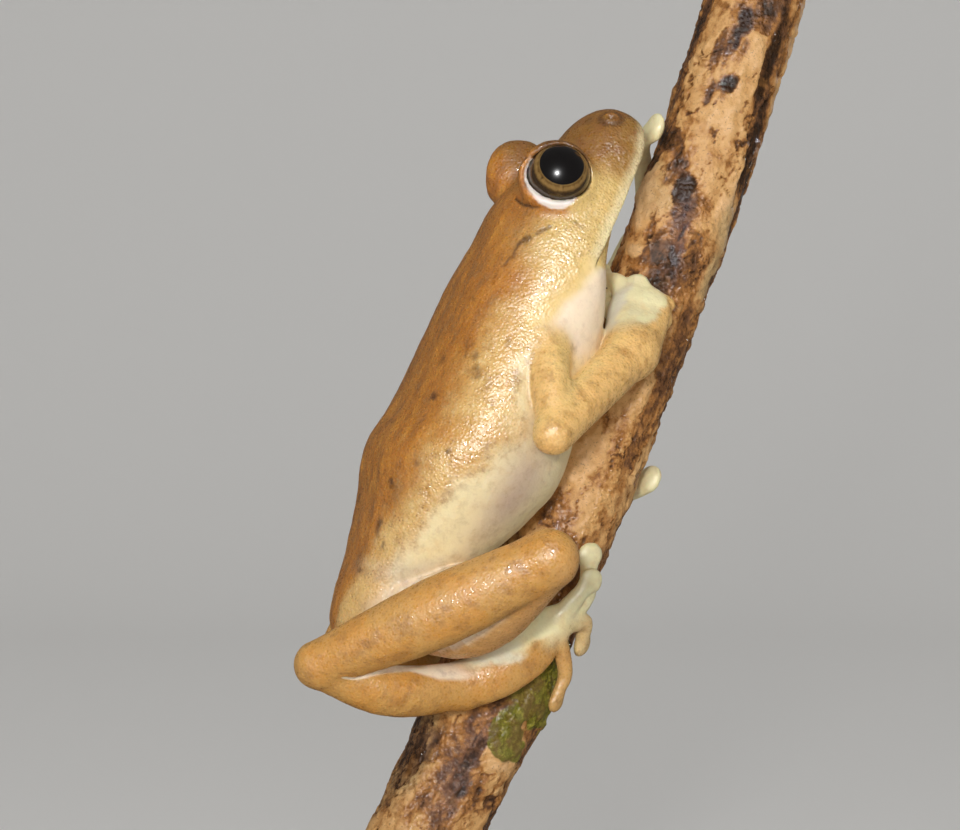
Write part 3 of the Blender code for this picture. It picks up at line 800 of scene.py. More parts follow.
def make_piece(name, points, faces, material, masks):
    """A smooth mesh object of points in millimetres and sets of faces, with masks at its points."""
    mesh = bpy.data.meshes.new(name)
    corners = np.concatenate([part.ravel() for part in faces]).astype(np.int32)
    sides = np.concatenate([np.full(len(part), part.shape[1], np.int32) for part in faces])
    mesh.vertices.add(len(points))
    mesh.vertices.foreach_set("co", (points * METRES).astype(np.float32).ravel())
    mesh.loops.add(len(corners))
    mesh.loops.foreach_set("vertex_index", corners)
    mesh.polygons.add(len(sides))
    mesh.polygons.foreach_set("loop_start", (np.cumsum(sides) - sides).astype(np.int32))
    mesh.update(calc_edges=True)
    mesh.validate()
    mesh.shade_smooth()
    for mask, values in masks.items():
        values = np.asarray(values, np.float32)
        kind, slot = ("FLOAT_VECTOR", "vector") if values.ndim == 2 else ("FLOAT", "value")
        mesh.attributes.new(mask, kind, "POINT").data.foreach_set(slot, values.ravel())
    mesh.materials.append(material)
    piece = bpy.data.objects.new(name, mesh)
    bpy.context.scene.collection.objects.link(piece)
    return piece


class Value:
    """An output socket of a material's nodes, whose arithmetic adds Math nodes."""

    def __init__(self, finish, socket):
        self.finish = finish
        self.socket = socket

    def maths(self, operation, *values):
        return self.finish.node("ShaderNodeMath", {"operation": operation}, values)

    def __add__(self, other):
        return self.maths("ADD", self, other)

    def __sub__(self, other):
        return self.maths("SUBTRACT", self, other)

    def __rsub__(self, other):
        return self.maths("SUBTRACT", other, self)

    def __mul__(self, other):
        return self.maths("MULTIPLY", self, other)

    __radd__ = __add__
    __rmul__ = __mul__

    def most(self, other):
        """The larger of two values."""
        return self.maths("MAXIMUM", self, other)

    def ease(self, low, high):
        """Smooth step from 0 at low to 1 at high."""
        settings = {"interpolation_type": "SMOOTHSTEP"}
        return self.finish.node("ShaderNodeMapRange", settings, {0: self, 1: low, 2: high})


class Finish:
    """A material of one Principled shader, with the constants of its sockets."""

    def __init__(self, name, **constants):
        self.material = bpy.data.materials.new(name)
        self.material.use_nodes = True
        self.tree = self.material.node_tree
        self.shader = self.tree.nodes["Principled BSDF"]
        for socket, value in constants.items():
            self.shader.inputs[socket.replace("_", " ")].default_value = value

    def node(self, kind, settings=None, inputs=(), output=0):
        """A node of a type, with its settings first and then the values or links of its sockets."""
        made = self.tree.nodes.new(kind)
        for setting, value in (settings or {}).items():
            setattr(made, setting, value)
        numbered = inputs.items() if isinstance(inputs, dict) else enumerate(inputs)
        for socket, value in numbered:
            if isinstance(value, Value):
                self.tree.links.new(value.socket, made.inputs[socket])
            else:
                made.inputs[socket].default_value = value
        return Value(self, made.outputs[output])

    def mask(self, name):
        """A value kept at the points of the mesh."""
        return self.node("ShaderNodeAttribute", {"attribute_name": name}, output="Fac")

    def place(self, name=None, stretch=(1, 1, 1)):
        """Places in millimetres, of the object or kept at the points of the mesh, scaled along each axis."""
        if name:
            where = self.node("ShaderNodeAttribute", {"attribute_name": name}, output="Vector")
            scale = stretch
        else:
            where = self.node("ShaderNodeTexCoord", output="Object")
            scale = [part / METRES for part in stretch]
        return self.node("ShaderNodeVectorMath", {"operation": "MULTIPLY"}, (where, scale))

    def noise(self, place, size, detail=3.0, roughness=0.55, warp=0.0):
        """Cloudy noise from 0 to 1 with features of a size in millimetres."""
        inputs = {
            "Vector": place, "Scale": 1 / size, "Detail": detail, "Roughness": roughness, "Distortion": warp,
        }
        return self.node("ShaderNodeTexNoise", inputs=inputs, output="Fac")

    def beads(self, place, size, feature="SMOOTH_F1"):
        """Distance from the nearest of scattered points a size apart."""
        inputs = {"Vector": place, "Scale": 1 / size}
        return self.node("ShaderNodeTexVoronoi", {"feature": feature}, inputs, output="Distance")

    def mix(self, first, second, factor):
        """A colour between two."""
        made = self.tree.nodes.new("ShaderNodeMix")
        made.data_type = "RGBA"
        for socket, value in ((0, factor), (6, first), (7, second)):
            if isinstance(value, Value):
                self.tree.links.new(value.socket, made.inputs[socket])
            elif socket == 0:
                made.inputs[0].default_value = value
            else:
                made.inputs[socket].default_value = (*value[:3], 1.0)
        return Value(self, made.outputs[2])

    def bump(self, height, distance, strength=1.0):
        """A surface direction from a height, which is this far in millimetres from 0 to 1."""
        inputs = {"Strength": strength, "Distance": distance * METRES, "Height": height}
        return self.node("ShaderNodeBump", inputs=inputs)

    def feed(self, **links):
        """Links values to the shader's sockets and gives the material."""
        for socket, value in links.items():
            self.tree.links.new(value.socket, self.shader.inputs[socket.replace("_", " ")])
        return self.material


def colour(name, description, default):
    """A colour property."""
    return FloatVectorProperty(
        name=name, description=description, default=default, size=3, min=0.0, max=1.0, subtype="COLOR",
    )


def length(name, description, default):
    """A length property in metres."""
    return FloatProperty(name=name, description=description, default=default, unit="LENGTH", precision=5)


def power(name, description, default):
    """A lamp's power property in watts."""
    return FloatProperty(name=name, description=description, default=default, unit="POWER")


class FrogSkinSettings(bpy.types.PropertyGroup):
    """Detail and colours of the skin."""

    cell: length("Cell", "Size of the cells that the skin is modelled in", 0.00012)
    # The back's own colour; where it spreads towards the flanks it also paints shade
    back: colour("Back", "Orange brown of the back and neck", (0.42, 0.14, 0.010))
    amber: colour("Amber", "Brighter orange of the streaks on the back", (0.62, 0.25, 0.025))
    # Partly the snout's own olive brown, partly painted shade on the top of the snout
    snout: colour("Snout", "Olive brown of the snout", (0.24, 0.104, 0.012))
    brown: colour("Brown", "Brown of the stipple and mottling", (0.24, 0.095, 0.025))
    flank: colour("Flank", "Golden tan of the flanks", (0.72, 0.46, 0.165))
    face: colour("Face", "Yellow tan of the cheeks and snout", (0.74, 0.52, 0.19))
    gold: colour("Gold", "Golden yellow round the throat and along the arms", (0.84, 0.59, 0.22))
    belly: colour("Belly", "Creamy yellow of the belly and lips", (0.84, 0.72, 0.42))
    lilac: colour("Lilac", "Grey lilac patch of thin skin on the side of the belly", (0.45, 0.32, 0.26))
    throat: colour("Throat", "Pale pink of the throat and armpit", (0.97, 0.78, 0.58))
    arm: colour("Arms", "Golden tan of the outside of the arms", (0.82, 0.50, 0.175))
    limb: colour("Legs", "Tan orange of the outside of the legs", (0.60, 0.31, 0.075))
    # Painted shade: the undersides of the thighs, in the shade of the shins, are darkened to this brown
    under: colour("Underside of the thighs", "Brown of the thighs under the shins", (0.62, 0.33, 0.12))
    web: colour("Web", "Grey green of the thin skin by the palm and sole", (0.74, 0.72, 0.60))
    waist: colour("Waist", "Pale grey skin beside the thighs", (0.60, 0.51, 0.37))
    inner: colour("Inner limbs", "Pale cream of the inside of the legs", (0.95, 0.82, 0.64))
    digit: colour("Digits", "Pale green yellow of the digits and discs", (0.84, 0.77, 0.46))
    # Also paints shade in the eye folds, along the eyes' openings, round the nostrils and along the mouth
    dark: colour("Dark marks", "Dark brown of the lines and spots", (0.075, 0.030, 0.012))
    crescent: colour("Eye crescent", "White edge of the lower lid", (0.82, 0.73, 0.66))


class FrogEyeSettings(bpy.types.PropertyGroup):
    """Sizes and colours of the eyes."""

    pupil_radius: length("Pupil radius", "Half the width of the pupil", 0.00139)
    iris: colour("Iris", "Brown gold of the iris", (0.15, 0.080, 0.020))
    iris_light: colour("Iris veins", "Light gold of the veins and the pupil's rim", (0.36, 0.22, 0.07))
    iris_dark: colour("Iris ring", "Dark outer ring of the iris", (0.018, 0.010, 0.005))


class StemSettings(bpy.types.PropertyGroup):
    """Detail and colours of the stem."""

    step: length("Step", "Distance between points of the bark", 0.00012)
    pale: colour("Palest bark", "Pink tan of the thickest flakes", (0.80, 0.50, 0.25))
    flake: colour("Flakes", "Tan of the raised bark", (0.64, 0.36, 0.135))
    rust: colour("Rust", "Orange brown between flakes and under bark", (0.40, 0.175, 0.048))
    under: colour("Under bark", "Red brown of the bark under the flakes", (0.155, 0.068, 0.028))
    crack: colour("Cracks", "Dark brown of cracks and wet hollows", (0.040, 0.019, 0.008))
    olive: colour("Olive", "Grey olive film on some of the bark", (0.36, 0.28, 0.14))
    moss: colour("Moss", "Olive green of the moss", (0.15, 0.145, 0.014))
    moss_tip: colour("Moss tips", "Yellow green of the moss's tips", (0.33, 0.30, 0.04))


class StandSettings(bpy.types.PropertyGroup):
    """Colours of the stand."""

    wood: colour("Wood", "Dark brown of the base", (0.11, 0.07, 0.05))
    wood_light: colour("Wood grain", "Lighter grain of the base", (0.20, 0.125, 0.085))
    steel: colour("Steel", "Satin steel of the rod", (0.55, 0.55, 0.56))


class StudioSettings(bpy.types.PropertyGroup):
    """Camera, lights and floor."""

    lens: FloatProperty(name="Lens", description="Focal length of the camera", default=118.5, unit="CAMERA")
    distance: length("Distance", "From the camera to the middle of the base", 0.200)
    floor: colour("Floor", "Pale floor and backdrop", (0.80, 0.79, 0.77))
    key: power("Key light", "Large soft light", 2.7)
    fill: power("Fill light", "Soft light from the right", 0.95)
    flash: power("Flash", "Small light by the camera", 0.23)
    sparkle: power("Catchlight", "Small lamp seen in the eyes", 0.75)
    glints: power("Glints", "Small lamps that glint in wet skin", 0.40)
    wash: power("Backdrop light", "Soft light on the backdrop", 7.0)


def eye_places():
    """Side, centre and radius of each eye, from the solids."""
    for side in SIDES:
        low, high = (np.array(corner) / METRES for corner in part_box("eye_" + side))
        yield side, (low + high) / 2, (high - low).max() / 2


def eye_axes(side):
    """World directions of an eye's gaze and of the long and short ways of its opening."""
    gaze = frog_way(sided(EYE_GAZE, side))
    longways = frog_way(sided(EYE_LONG_WAY, side))
    longways = unit(longways - (longways @ gaze) * gaze)
    shortways = np.cross(gaze, longways)
    if shortways @ frog_way((1.0, 0.0, 0.0)) < 0:
        shortways = -shortways
    return gaze, longways, shortways


def model_head(clay):
    """Upper head, lower jaw with the line of the mouth, and the rest of the body."""
    window, whole = clay.distances(body_shape())
    same, narrow = clay.distances(body_shape(JAW_INSET))
    inset = np.full(whole.shape, clay.reach, np.float32)
    inner = tuple(slice(b.start - a.start, b.stop - a.start) for a, b in zip(window, same))
    inset[inner] = narrow
    vent = frog((0.0, 0.0, 0.0))
    forward = along(clay.places(window), vent, frog_way((1.0, 0.0, 0.0)))
    up = along(clay.places(window), vent, frog_way((0.0, 1.0, 0.0)))
    mouth = np.interp(forward, MOUTH_LINE[:, 0], MOUTH_LINE[:, 1])
    corner = MOUTH_LINE[0, 0] + JAW_SLOPE * (up - MOUTH_LINE[0, 1])
    below = np.maximum(up - mouth, corner - forward).astype(np.float32)
    upper = np.maximum(whole, -below)
    clay.kept["body"] = (window, whole)
    clay.values[window] = softer(upper, inset, LIP_BLEND)


def model_lids(clay):
    """Lids that hug each eyeball, its socket and its opening."""
    axes = [frog_way(axis) for axis in np.eye(3)]
    for side, centre, radius in eye_places():
        gaze, longways, shortways = eye_axes(side)
        window = clay.around(centre, LID_WINDOW)
        places = clay.places(window)
        bulk = ovoid(places, centre - LID_SETBACK[side] * axes[0], LID_RADII, axes)
        lower = ease(0.3, -1.2, along(places, centre, axes[0]))
        thick = LID_THICKNESS + (LOWER_LID_THICKNESS - LID_THICKNESS) * lower
        hug = ovoid(places, centre, [radius] * 3, axes) - thick
        lids = softer(bulk, hug, LID_SEAM).astype(np.float32)
        clay.kept["lids_" + side] = (window, lids)
        clay.join(window, lids, LID_BLEND)
        away = np.sqrt(sum((part - middle) ** 2 for part, middle in zip(places, centre))) + 1e-6
        wide, tall, ahead = (along(places, centre, way) / away for way in (longways, shortways, gaze))
        oval = radius * np.sqrt((wide / OPENING[0]) ** 2 + (tall / OPENING[1]) ** 2)
        cone = np.where(ahead > 0, (oval - 1) * away, 1.0)
        clay.cut(window, np.maximum(cone, SOCKET_SHARE * radius - away).astype(np.float32), OPENING_BLEND)
        clay.cut(window, (away - radius - EYE_CLEARANCE).astype(np.float32))


def model_limbs(clay):
    """Arms, legs, hands and feet."""
    for side in SIDES:
        for name, path, radii, _, joints in limb_pieces(side):
            placed = [(frog(sided(joint, side)), spread, width) for joint, spread, width in joints]
            shape = tube(path, radii, radii, [frog_way((0.0, 1.0, 0.0))] * 3, steps=24, sides=72)
            clay.add(name + side, shape, LIMB_BLEND, placed)
        for name, palm, widths, heights, digits, joint in grips(side):
            placed = [(frog(sided(joint, side)), *PALM_JOINT)]
            shape = tube(around_stem(palm), widths, heights, outward(palm), steps=16, sides=64)
            clay.add(name, shape, PALM_BLEND, placed)
            if name == "hand_" + side:
                placed = [(frog(sided(WRIST[side], side)), *WRIST_JOINT)]
                clay.add("wrist_" + side, wrist_shape(side), WRIST_BLEND, placed)
            root = (around_stem(palm[-1]), *DIGIT_JOINT)
            for number, points in enumerate(digits):
                path = digit_path(points)
                scale = DIGIT_SCALES[name][number]
                sizes = np.array((DIGIT_WIDTHS, DIGIT_HEIGHTS)) * scale
                shape = tube(around_stem(path), *sizes, outward(path), steps=6, sides=28)
                clay.add(f"{name}_{number}", shape, DIGIT_BLEND, [root])


def free_of_stem(clay):
    """Cuts the clay clear of the stem."""
    for height in np.arange(STEM_BOTTOM, STEM_TOP, STEM_WINDOW):
        middle = upright(stem_frame(height + STEM_WINDOW / 2)[0])
        window = clay.around(middle, STEM_REACH)
        if any(part.stop <= part.start for part in window):
            continue
        places = np.stack(np.broadcast_arrays(*clay.places(window)), axis=-1)
        _, _, lift = stem_places(places)
        clay.cut(window, (lift - STEM_CLEARANCE).astype(np.float32))


def part_shares(clay, points):
    """How much each point belongs to the body, each limb, and each hand, foot or digit."""
    gaps = {name: clay.distance_at(name, points) for name in clay.kept}
    shares = {name: np.exp(-np.clip(gap, -0.1, 2.0) / SHARE_REACH) for name, gap in gaps.items()}
    for side in SIDES:
        shares["body"] = shares["body"] + shares.pop("lids_" + side)
    total = sum(shares.values())
    return {name: share / total for name, share in shares.items()}


def dark_marks(points, places):
    """Dark lines and spots of the back and face."""
    wobble = np.stack([layered(points, 0.9, 3, seed) for seed in (3, 5, 8)], axis=1) * 0.3
    moved = places + wobble
    broken = ease(-0.7, 0.5, layered(points, 0.7, 2, 21))
    dark = np.zeros(len(places))
    for side in SIDES:
        line = [body_mark(forward, angle, side) for forward, angle in LINE_MARKS]
        gap, share = near_line(moved, line)
        dark = np.maximum(dark, np.exp(-(gap / 0.24) ** 2) * broken * (0.75 - 0.25 * share))
        line = [body_mark(forward, angle, side) for forward, angle in HIP_LINE]
        gap, _ = near_line(moved, line)
        dark = np.maximum(dark, 0.8 * np.exp(-(gap / 0.3) ** 2) * broken)
        for forward, angle, size, strength in SPOT_MARKS:
            gap = np.linalg.norm(moved - body_mark(forward, angle, side), axis=1)
            dark = np.maximum(dark, strength * np.exp(-(gap / size) ** 2) * (0.3 + 0.7 * broken))
        for forward, up, out, size, strength in FACE_MARKS:
            gap = np.linalg.norm(moved - sided((forward, up, out), side), axis=1)
            dark = np.maximum(dark, strength * np.exp(-(gap / size) ** 2) * (0.4 + 0.6 * broken))
    return dark


def eye_surround(points, places):
    """Masks and relief round the eyes: white crescent, orange lids, the fold outside them, and the painted
    shade in that fold and along the openings' edges.
    """
    crescent, relief, shade, lids = np.zeros((4, len(points)))
    for side, centre, radius in eye_places():
        gaze, longways, shortways = eye_axes(side)
        away = points - centre
        wide, tall, ahead = away @ longways, away @ shortways, away @ gaze
        reach = np.linalg.norm(away, axis=1)
        angle = np.arctan2(tall, wide)
        turn = (np.degrees(angle) + 270) % 360 - 270
        width = np.interp(turn, *np.transpose(CRESCENT)) + 0.02 * grain(points, 0.2, 6)
        edge = np.hypot(OPENING[0] * np.cos(angle), OPENING[1] * np.sin(angle))
        outside = np.hypot(wide, tall) - edge
        seen = 1.0 if side == "right" else ease(0.2, 1.2, ahead)
        front = seen * (reach < 2.2 * radius) * (ahead > -0.9)
        mask = ease(-0.02, 0.10, width - outside) * ease(0.03, 0.14, width) * front
        crescent = np.maximum(crescent, mask)
        strip = np.interp(turn, *np.transpose(LID_STRIP))
        shown = seen * ease(0.0, 0.25, strip) * (reach < 2.2 * radius) * (ahead > -1.8)
        # Painted shade: a dark line in the fold and along the opening's edge, wider over the upper lid
        fold = np.exp(-((outside - width - strip) / 0.11) ** 2) * shown
        lip = np.exp(-((outside - width - 0.5 * strip) / 0.16) ** 2) * shown
        above = front * ease(10, 40, turn) + front * ease(-205, -225, turn)
        rim = np.exp(-((outside - 0.05) / 0.09) ** 2) * front * (1 - mask)
        rim = np.maximum(rim, ease(0.5, 0.2, outside) * above)
        relief += 0.07 * lip - 0.10 * fold
        shade = np.maximum(shade, np.maximum(0.8 * fold, 0.6 * rim))
        rise = (places - frog_places(centre)) @ (-0.75, 0.75, 0.0)
        lid = ease(3.4, 2.5, reach) * ease(-0.2, 0.7, rise)
        orange = ease(width + strip + 0.1, width + strip - 0.05, outside) * shown
        lids = np.maximum(lids, np.maximum(lid, orange))
    return crescent, relief, shade, lids


def limb_masks(points, shares):
    """How far each point is on the pale inner side of an arm, and of a leg, and on the underside of a thigh,
    where shade is painted.
    """
    pale = {kind: np.zeros(len(points)) for kind in ("arm", "leg", "under")}
    uneven = 0.12 * grain(points, 1.3, 4)
    for side in SIDES:
        knee = np.linalg.norm(points - frog(sided(KNEE[side], side)), axis=1)
        gap, far = near_line(points, frog([sided(place, side) for place in TARSUS_STRIP]))
        strip = ease(0.9, 0.6, gap / (0.2 + far))
        pale["leg"] += (shares["tarsus_" + side] + shares["shin_" + side]) * strip
        for name, path, _, outer, _ in limb_pieces(side):
            if name not in INNER_EDGES:
                continue
            share = shares[name + side]
            line = through(path, 6)
            gaps = np.stack([np.linalg.norm(points - place, axis=1) for place in line])
            nearest = line[gaps.argmin(axis=0)]
            way = (points - nearest) @ frog_way(sided(outer, side))
            across = np.linalg.norm(points - nearest, axis=1)
            low, high = INNER_EDGES[name]
            inner = share * ease(high, low, way / np.maximum(across, 0.1) + uneven)
            if name == "thigh_":
                rise = (points - nearest) @ frog_way((0.0, 1.0, 0.0))
                # Painted shade under the thigh, where the shin shades it
                pale["under"] += share * ease(0.3, -0.9, rise)
                inner = inner * ease(2.4, 4.4, knee) * ease(-0.6, 0.6, rise)
            pale["arm" if "arm" in name else "leg"] += inner
    return pale.values()


def grip_masks(points, shares):
    """Masks of the digits, palms and soles, the tan on their outer sides, their webs and the hand's ridge."""
    digits, palms, tan, web, ridge = np.zeros((5, len(points)))
    height, angle, _ = stem_places(points)
    ragged = 0.25 * layered(points, 0.9, 3, 41)
    for name, share in shares.items():
        grip, _, number = name.rpartition("_")
        if number.isdigit():
            digits += share
            tan += share * TANNED_DIGITS.get(grip, {}).get(int(number), 0.0)
        elif grip in ("hand", "foot", "wrist"):
            share = share * ease(3.4, 4.6, height) if grip == "wrist" else share
            palms += share
            if number == "right" and grip == "foot":
                web += 0.7 * share * ease(SOLE_WEB + 0.8, SOLE_WEB - 0.8, height + 2 * ragged)
            elif number == "right":
                way = angle - np.interp(height, *np.transpose(HAND_RIDGE))
                way = STEM_RADIUS * np.radians(way)
                web += share * ease(0.1, -0.3, way + ragged)
                ridge += share * np.exp(-(way / 0.35) ** 2)
            if number == "right":
                rows = np.array(TAN_EDGES["foot" if grip == "foot" else "hand"])
                edge = np.interp(height, rows[:, 0], rows[:, 1])
                middle = STEM_RADIUS * np.radians(angle - np.interp(height, rows[:, 0], rows[:, 2]))
                tan += share * ease(edge - 0.25, edge + 0.25, middle + ragged)
    return digits, palms, tan, web, ridge


def nostrils(places):
    """Relief of the nostrils' rims and hollows, and the painted shade in and round them."""
    relief, shade = np.zeros((2, len(places)))
    for side in SIDES:
        gap = np.linalg.norm(places - sided(NOSTRIL, side), axis=1)
        relief += 0.17 * np.exp(-((gap - 0.40) / 0.18) ** 2) - 0.34 * np.exp(-(gap / 0.17) ** 2)
        shade = np.maximum(shade, 0.9 * np.exp(-(gap / 0.2) ** 2) + 0.6 * np.exp(-((gap - 0.72) / 0.32) ** 2))
    return relief, shade


def folds(points, places, angle, body):
    """Relief of the hip bones, the ridges of the back and gentle unevenness."""
    forward, _, right = places.T
    bones = sum(np.exp(-((forward - 10.6) / 1.4) ** 2 - ((right - way) / 1.0) ** 2) for way in (-2.4, 2.4))
    ridges = sum(np.exp(-((right - way) / 0.5) ** 2) for way in (-2.1, 2.1))
    ridges = ridges * ease(2.0, 5.0, forward) * ease(11.0, 9.0, forward)
    top = body * ease(30, 60, angle)
    relief = 0.08 * bones * top + 0.08 * ridges * top
    return relief + 0.05 * body * layered(points, 2.6, 3, 11) + 0.02 * layered(points, 0.7, 3, 31)


def paint(points, places, shares):
    """Masks of the markings and of the painted shade at each point, and how far its surface is raised."""
    forward, up, right = places.T
    body = shares["body"]
    level = np.interp(forward, BODY[:, 0], BODY[:, 4])
    angle = np.degrees(np.arctan2(up - level, np.abs(right)))
    ragged = layered(points, 2.2, 4, 2)
    edge = np.interp(forward, *np.transpose(BELLY_EDGE))
    belly = body * ease(edge + 8, edge - 6, angle + 6 * ragged)
    back_edge = np.interp(forward, *np.transpose(BACK_EDGE))
    # The back's own colour, spread wide and soft so that it also paints the shade towards the back's outline
    back = body * ease(back_edge - 13, back_edge + 13, angle + 7 * ragged)
    cheek = body * ease(23.5, 27.5, forward + 0.5 * ragged) * ease(70, 25, angle + 5 * ragged)
    # Snout mask: its own darker colour there is also painted shade
    snout = body * ease(32.4, 35.4, forward + 0.8 * ragged + 0.05 * angle)
    cheek = cheek * (1 - 0.8 * snout)
    thighs = [near_line(points, limb_path(side, (HIP, THIGH_MIDDLE[side], KNEE[side])))[0] for side in SIDES]
    waist = body * ease(3.9, 2.5, np.min(thighs, axis=0) + 0.2 * ragged) * ease(2.5, 5.0, forward)
    lilac = body * np.exp(-((forward - 12.2) / 4.2) ** 2 - ((angle + 17) / 14) ** 2)
    lilac = np.maximum(lilac, 0.6 * body * np.exp(-((forward - 17.0) / 2.6) ** 2 - ((angle + 14) / 12) ** 2))
    pink = body * ease(20.0, 22.4, forward + 0.4 * ragged) * ease(edge + 1, edge - 7, angle + 2 * ragged)
    gold = body * ease(19.5, 22.0, forward) * ease(edge + 16, edge + 4, angle + 3 * ragged) * (1 - pink)
    mouth = np.interp(forward, MOUTH_LINE[:, 0], MOUTH_LINE[:, 1])
    above = up - mouth + 0.1 * ragged
    lip = body * ease(26.4, 28.0, forward) * ease(1.0, 0.25, above) * ease(-0.25, 0.0, above)
    # A groove along the mouth, with painted shade in it
    line = body * ease(26.6, 27.2, forward) * np.exp(-((up - mouth + 0.06) / 0.07) ** 2)
    digits, palms, tan, web, ridge = grip_masks(points, shares)
    arm, leg, under = limb_masks(points, shares)
    arms = sum(share for name, share in shares.items() if name.startswith(ARM_PARTS))
    pale = palms + digits - tan
    limbs = np.clip(1 - body - pale, 0, 1)
    crescent, relief, shade, lids = eye_surround(points, places)
    back = np.maximum(back, lids * (1 - crescent))
    knees = [np.linalg.norm(points - frog(sided(KNEE[side], side)), axis=1) for side in SIDES]
    shins = shares["shin_right"] + shares["shin_left"]
    dry = shins * (0.4 + 0.6 * ease(2.5, 5.0, np.min(knees, axis=0))) + body * ease(9, 4, forward)
    dry = dry + 0.7 * belly + 0.5 * back + 0.6 * lids + 0.4 * limbs + 0.7 * pale
    mottled = 0.25 + 0.75 * snout + 0.25 * limbs + 3.2 * belly * (1 - belly) * body * (forward < 22)
    # Painted shade in and round the nostrils
    rims, nostril_shade = nostrils(places)
    dark = dark_marks(points, places) * np.clip(1.4 * body, 0, 1)
    # The dark mask holds the real lines and spots, and also painted shade round the eyes and nostrils and
    # along the mouth
    dark = np.max((dark, shade, nostril_shade, 0.75 * line), axis=0)
    relief = relief + rims - 0.06 * line + 0.1 * ridge + folds(points, places, angle, body)
    smooth = np.clip(0.85 * belly + pink + 0.5 * gold + 0.8 * leg + 0.9 * pale + crescent, 0, 1)
    return {
        "belly": belly, "cheek": cheek * (1 - lids), "back": back, "lilac": lilac, "pink": pink, "gold": gold,
        "lip": lip, "limb": limbs, "arm_inner": arm, "leg_inner": leg, "grip": np.clip(pale, 0, 1),
        "dark": np.clip(dark, 0, 1), "crescent": crescent, "lie": places,
        "granular": (1 - smooth) * (1 - 0.3 * limbs), "waist": waist,
        "mottled": np.clip(mottled, 0, 1) * (1 - crescent),
        "snout": snout, "dry": np.clip(dry, 0, 1), "arms": np.clip(arms, 0, 1), "under": under, "web": web,
    }, relief


class FROG_OT_skin(bpy.types.Operator):
    """Models the frog's skin over the solids of its flesh, and gives it its markings and its painted shade"""

    bl_idname = "frog.skin"
    bl_label = "Skin"

    def execute(self, context):
        settings = context.scene.frog_skin
        cell = settings.cell / METRES
        boxes = [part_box(node) for node in FLESH]
        low = np.min([box[0] for box in boxes], axis=0) / METRES - SKIN_MARGIN
        high = np.max([box[1] for box in boxes], axis=0) / METRES + SKIN_MARGIN
        clay = Clay(low, high, cell)
        model_head(clay)
        model_lids(clay)
        model_limbs(clay)
        free_of_stem(clay)
        points, faces = clay.surface()
        points, faces = largest(np.asarray(points, float), np.asarray(faces, int))
        points = relaxed(points, faces, SKIN_ROUNDS)
        volume = np.sum(points[faces[:, 0]] * np.cross(points[faces[:, 1]], points[faces[:, 2]]))
        if volume < 0:
            faces = faces[:, ::-1]
        normals = corner_normals(points, faces)
        places = frog_places(points)
        masks, relief = paint(points, places, part_shares(clay, points))
        points = points + relief[:, None] * normals
        piece = make_piece("frog_skin", points, (faces,), skin_finish(settings), masks)
        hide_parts(*FLESH)
        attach(piece, "root")
        return {"FINISHED"}


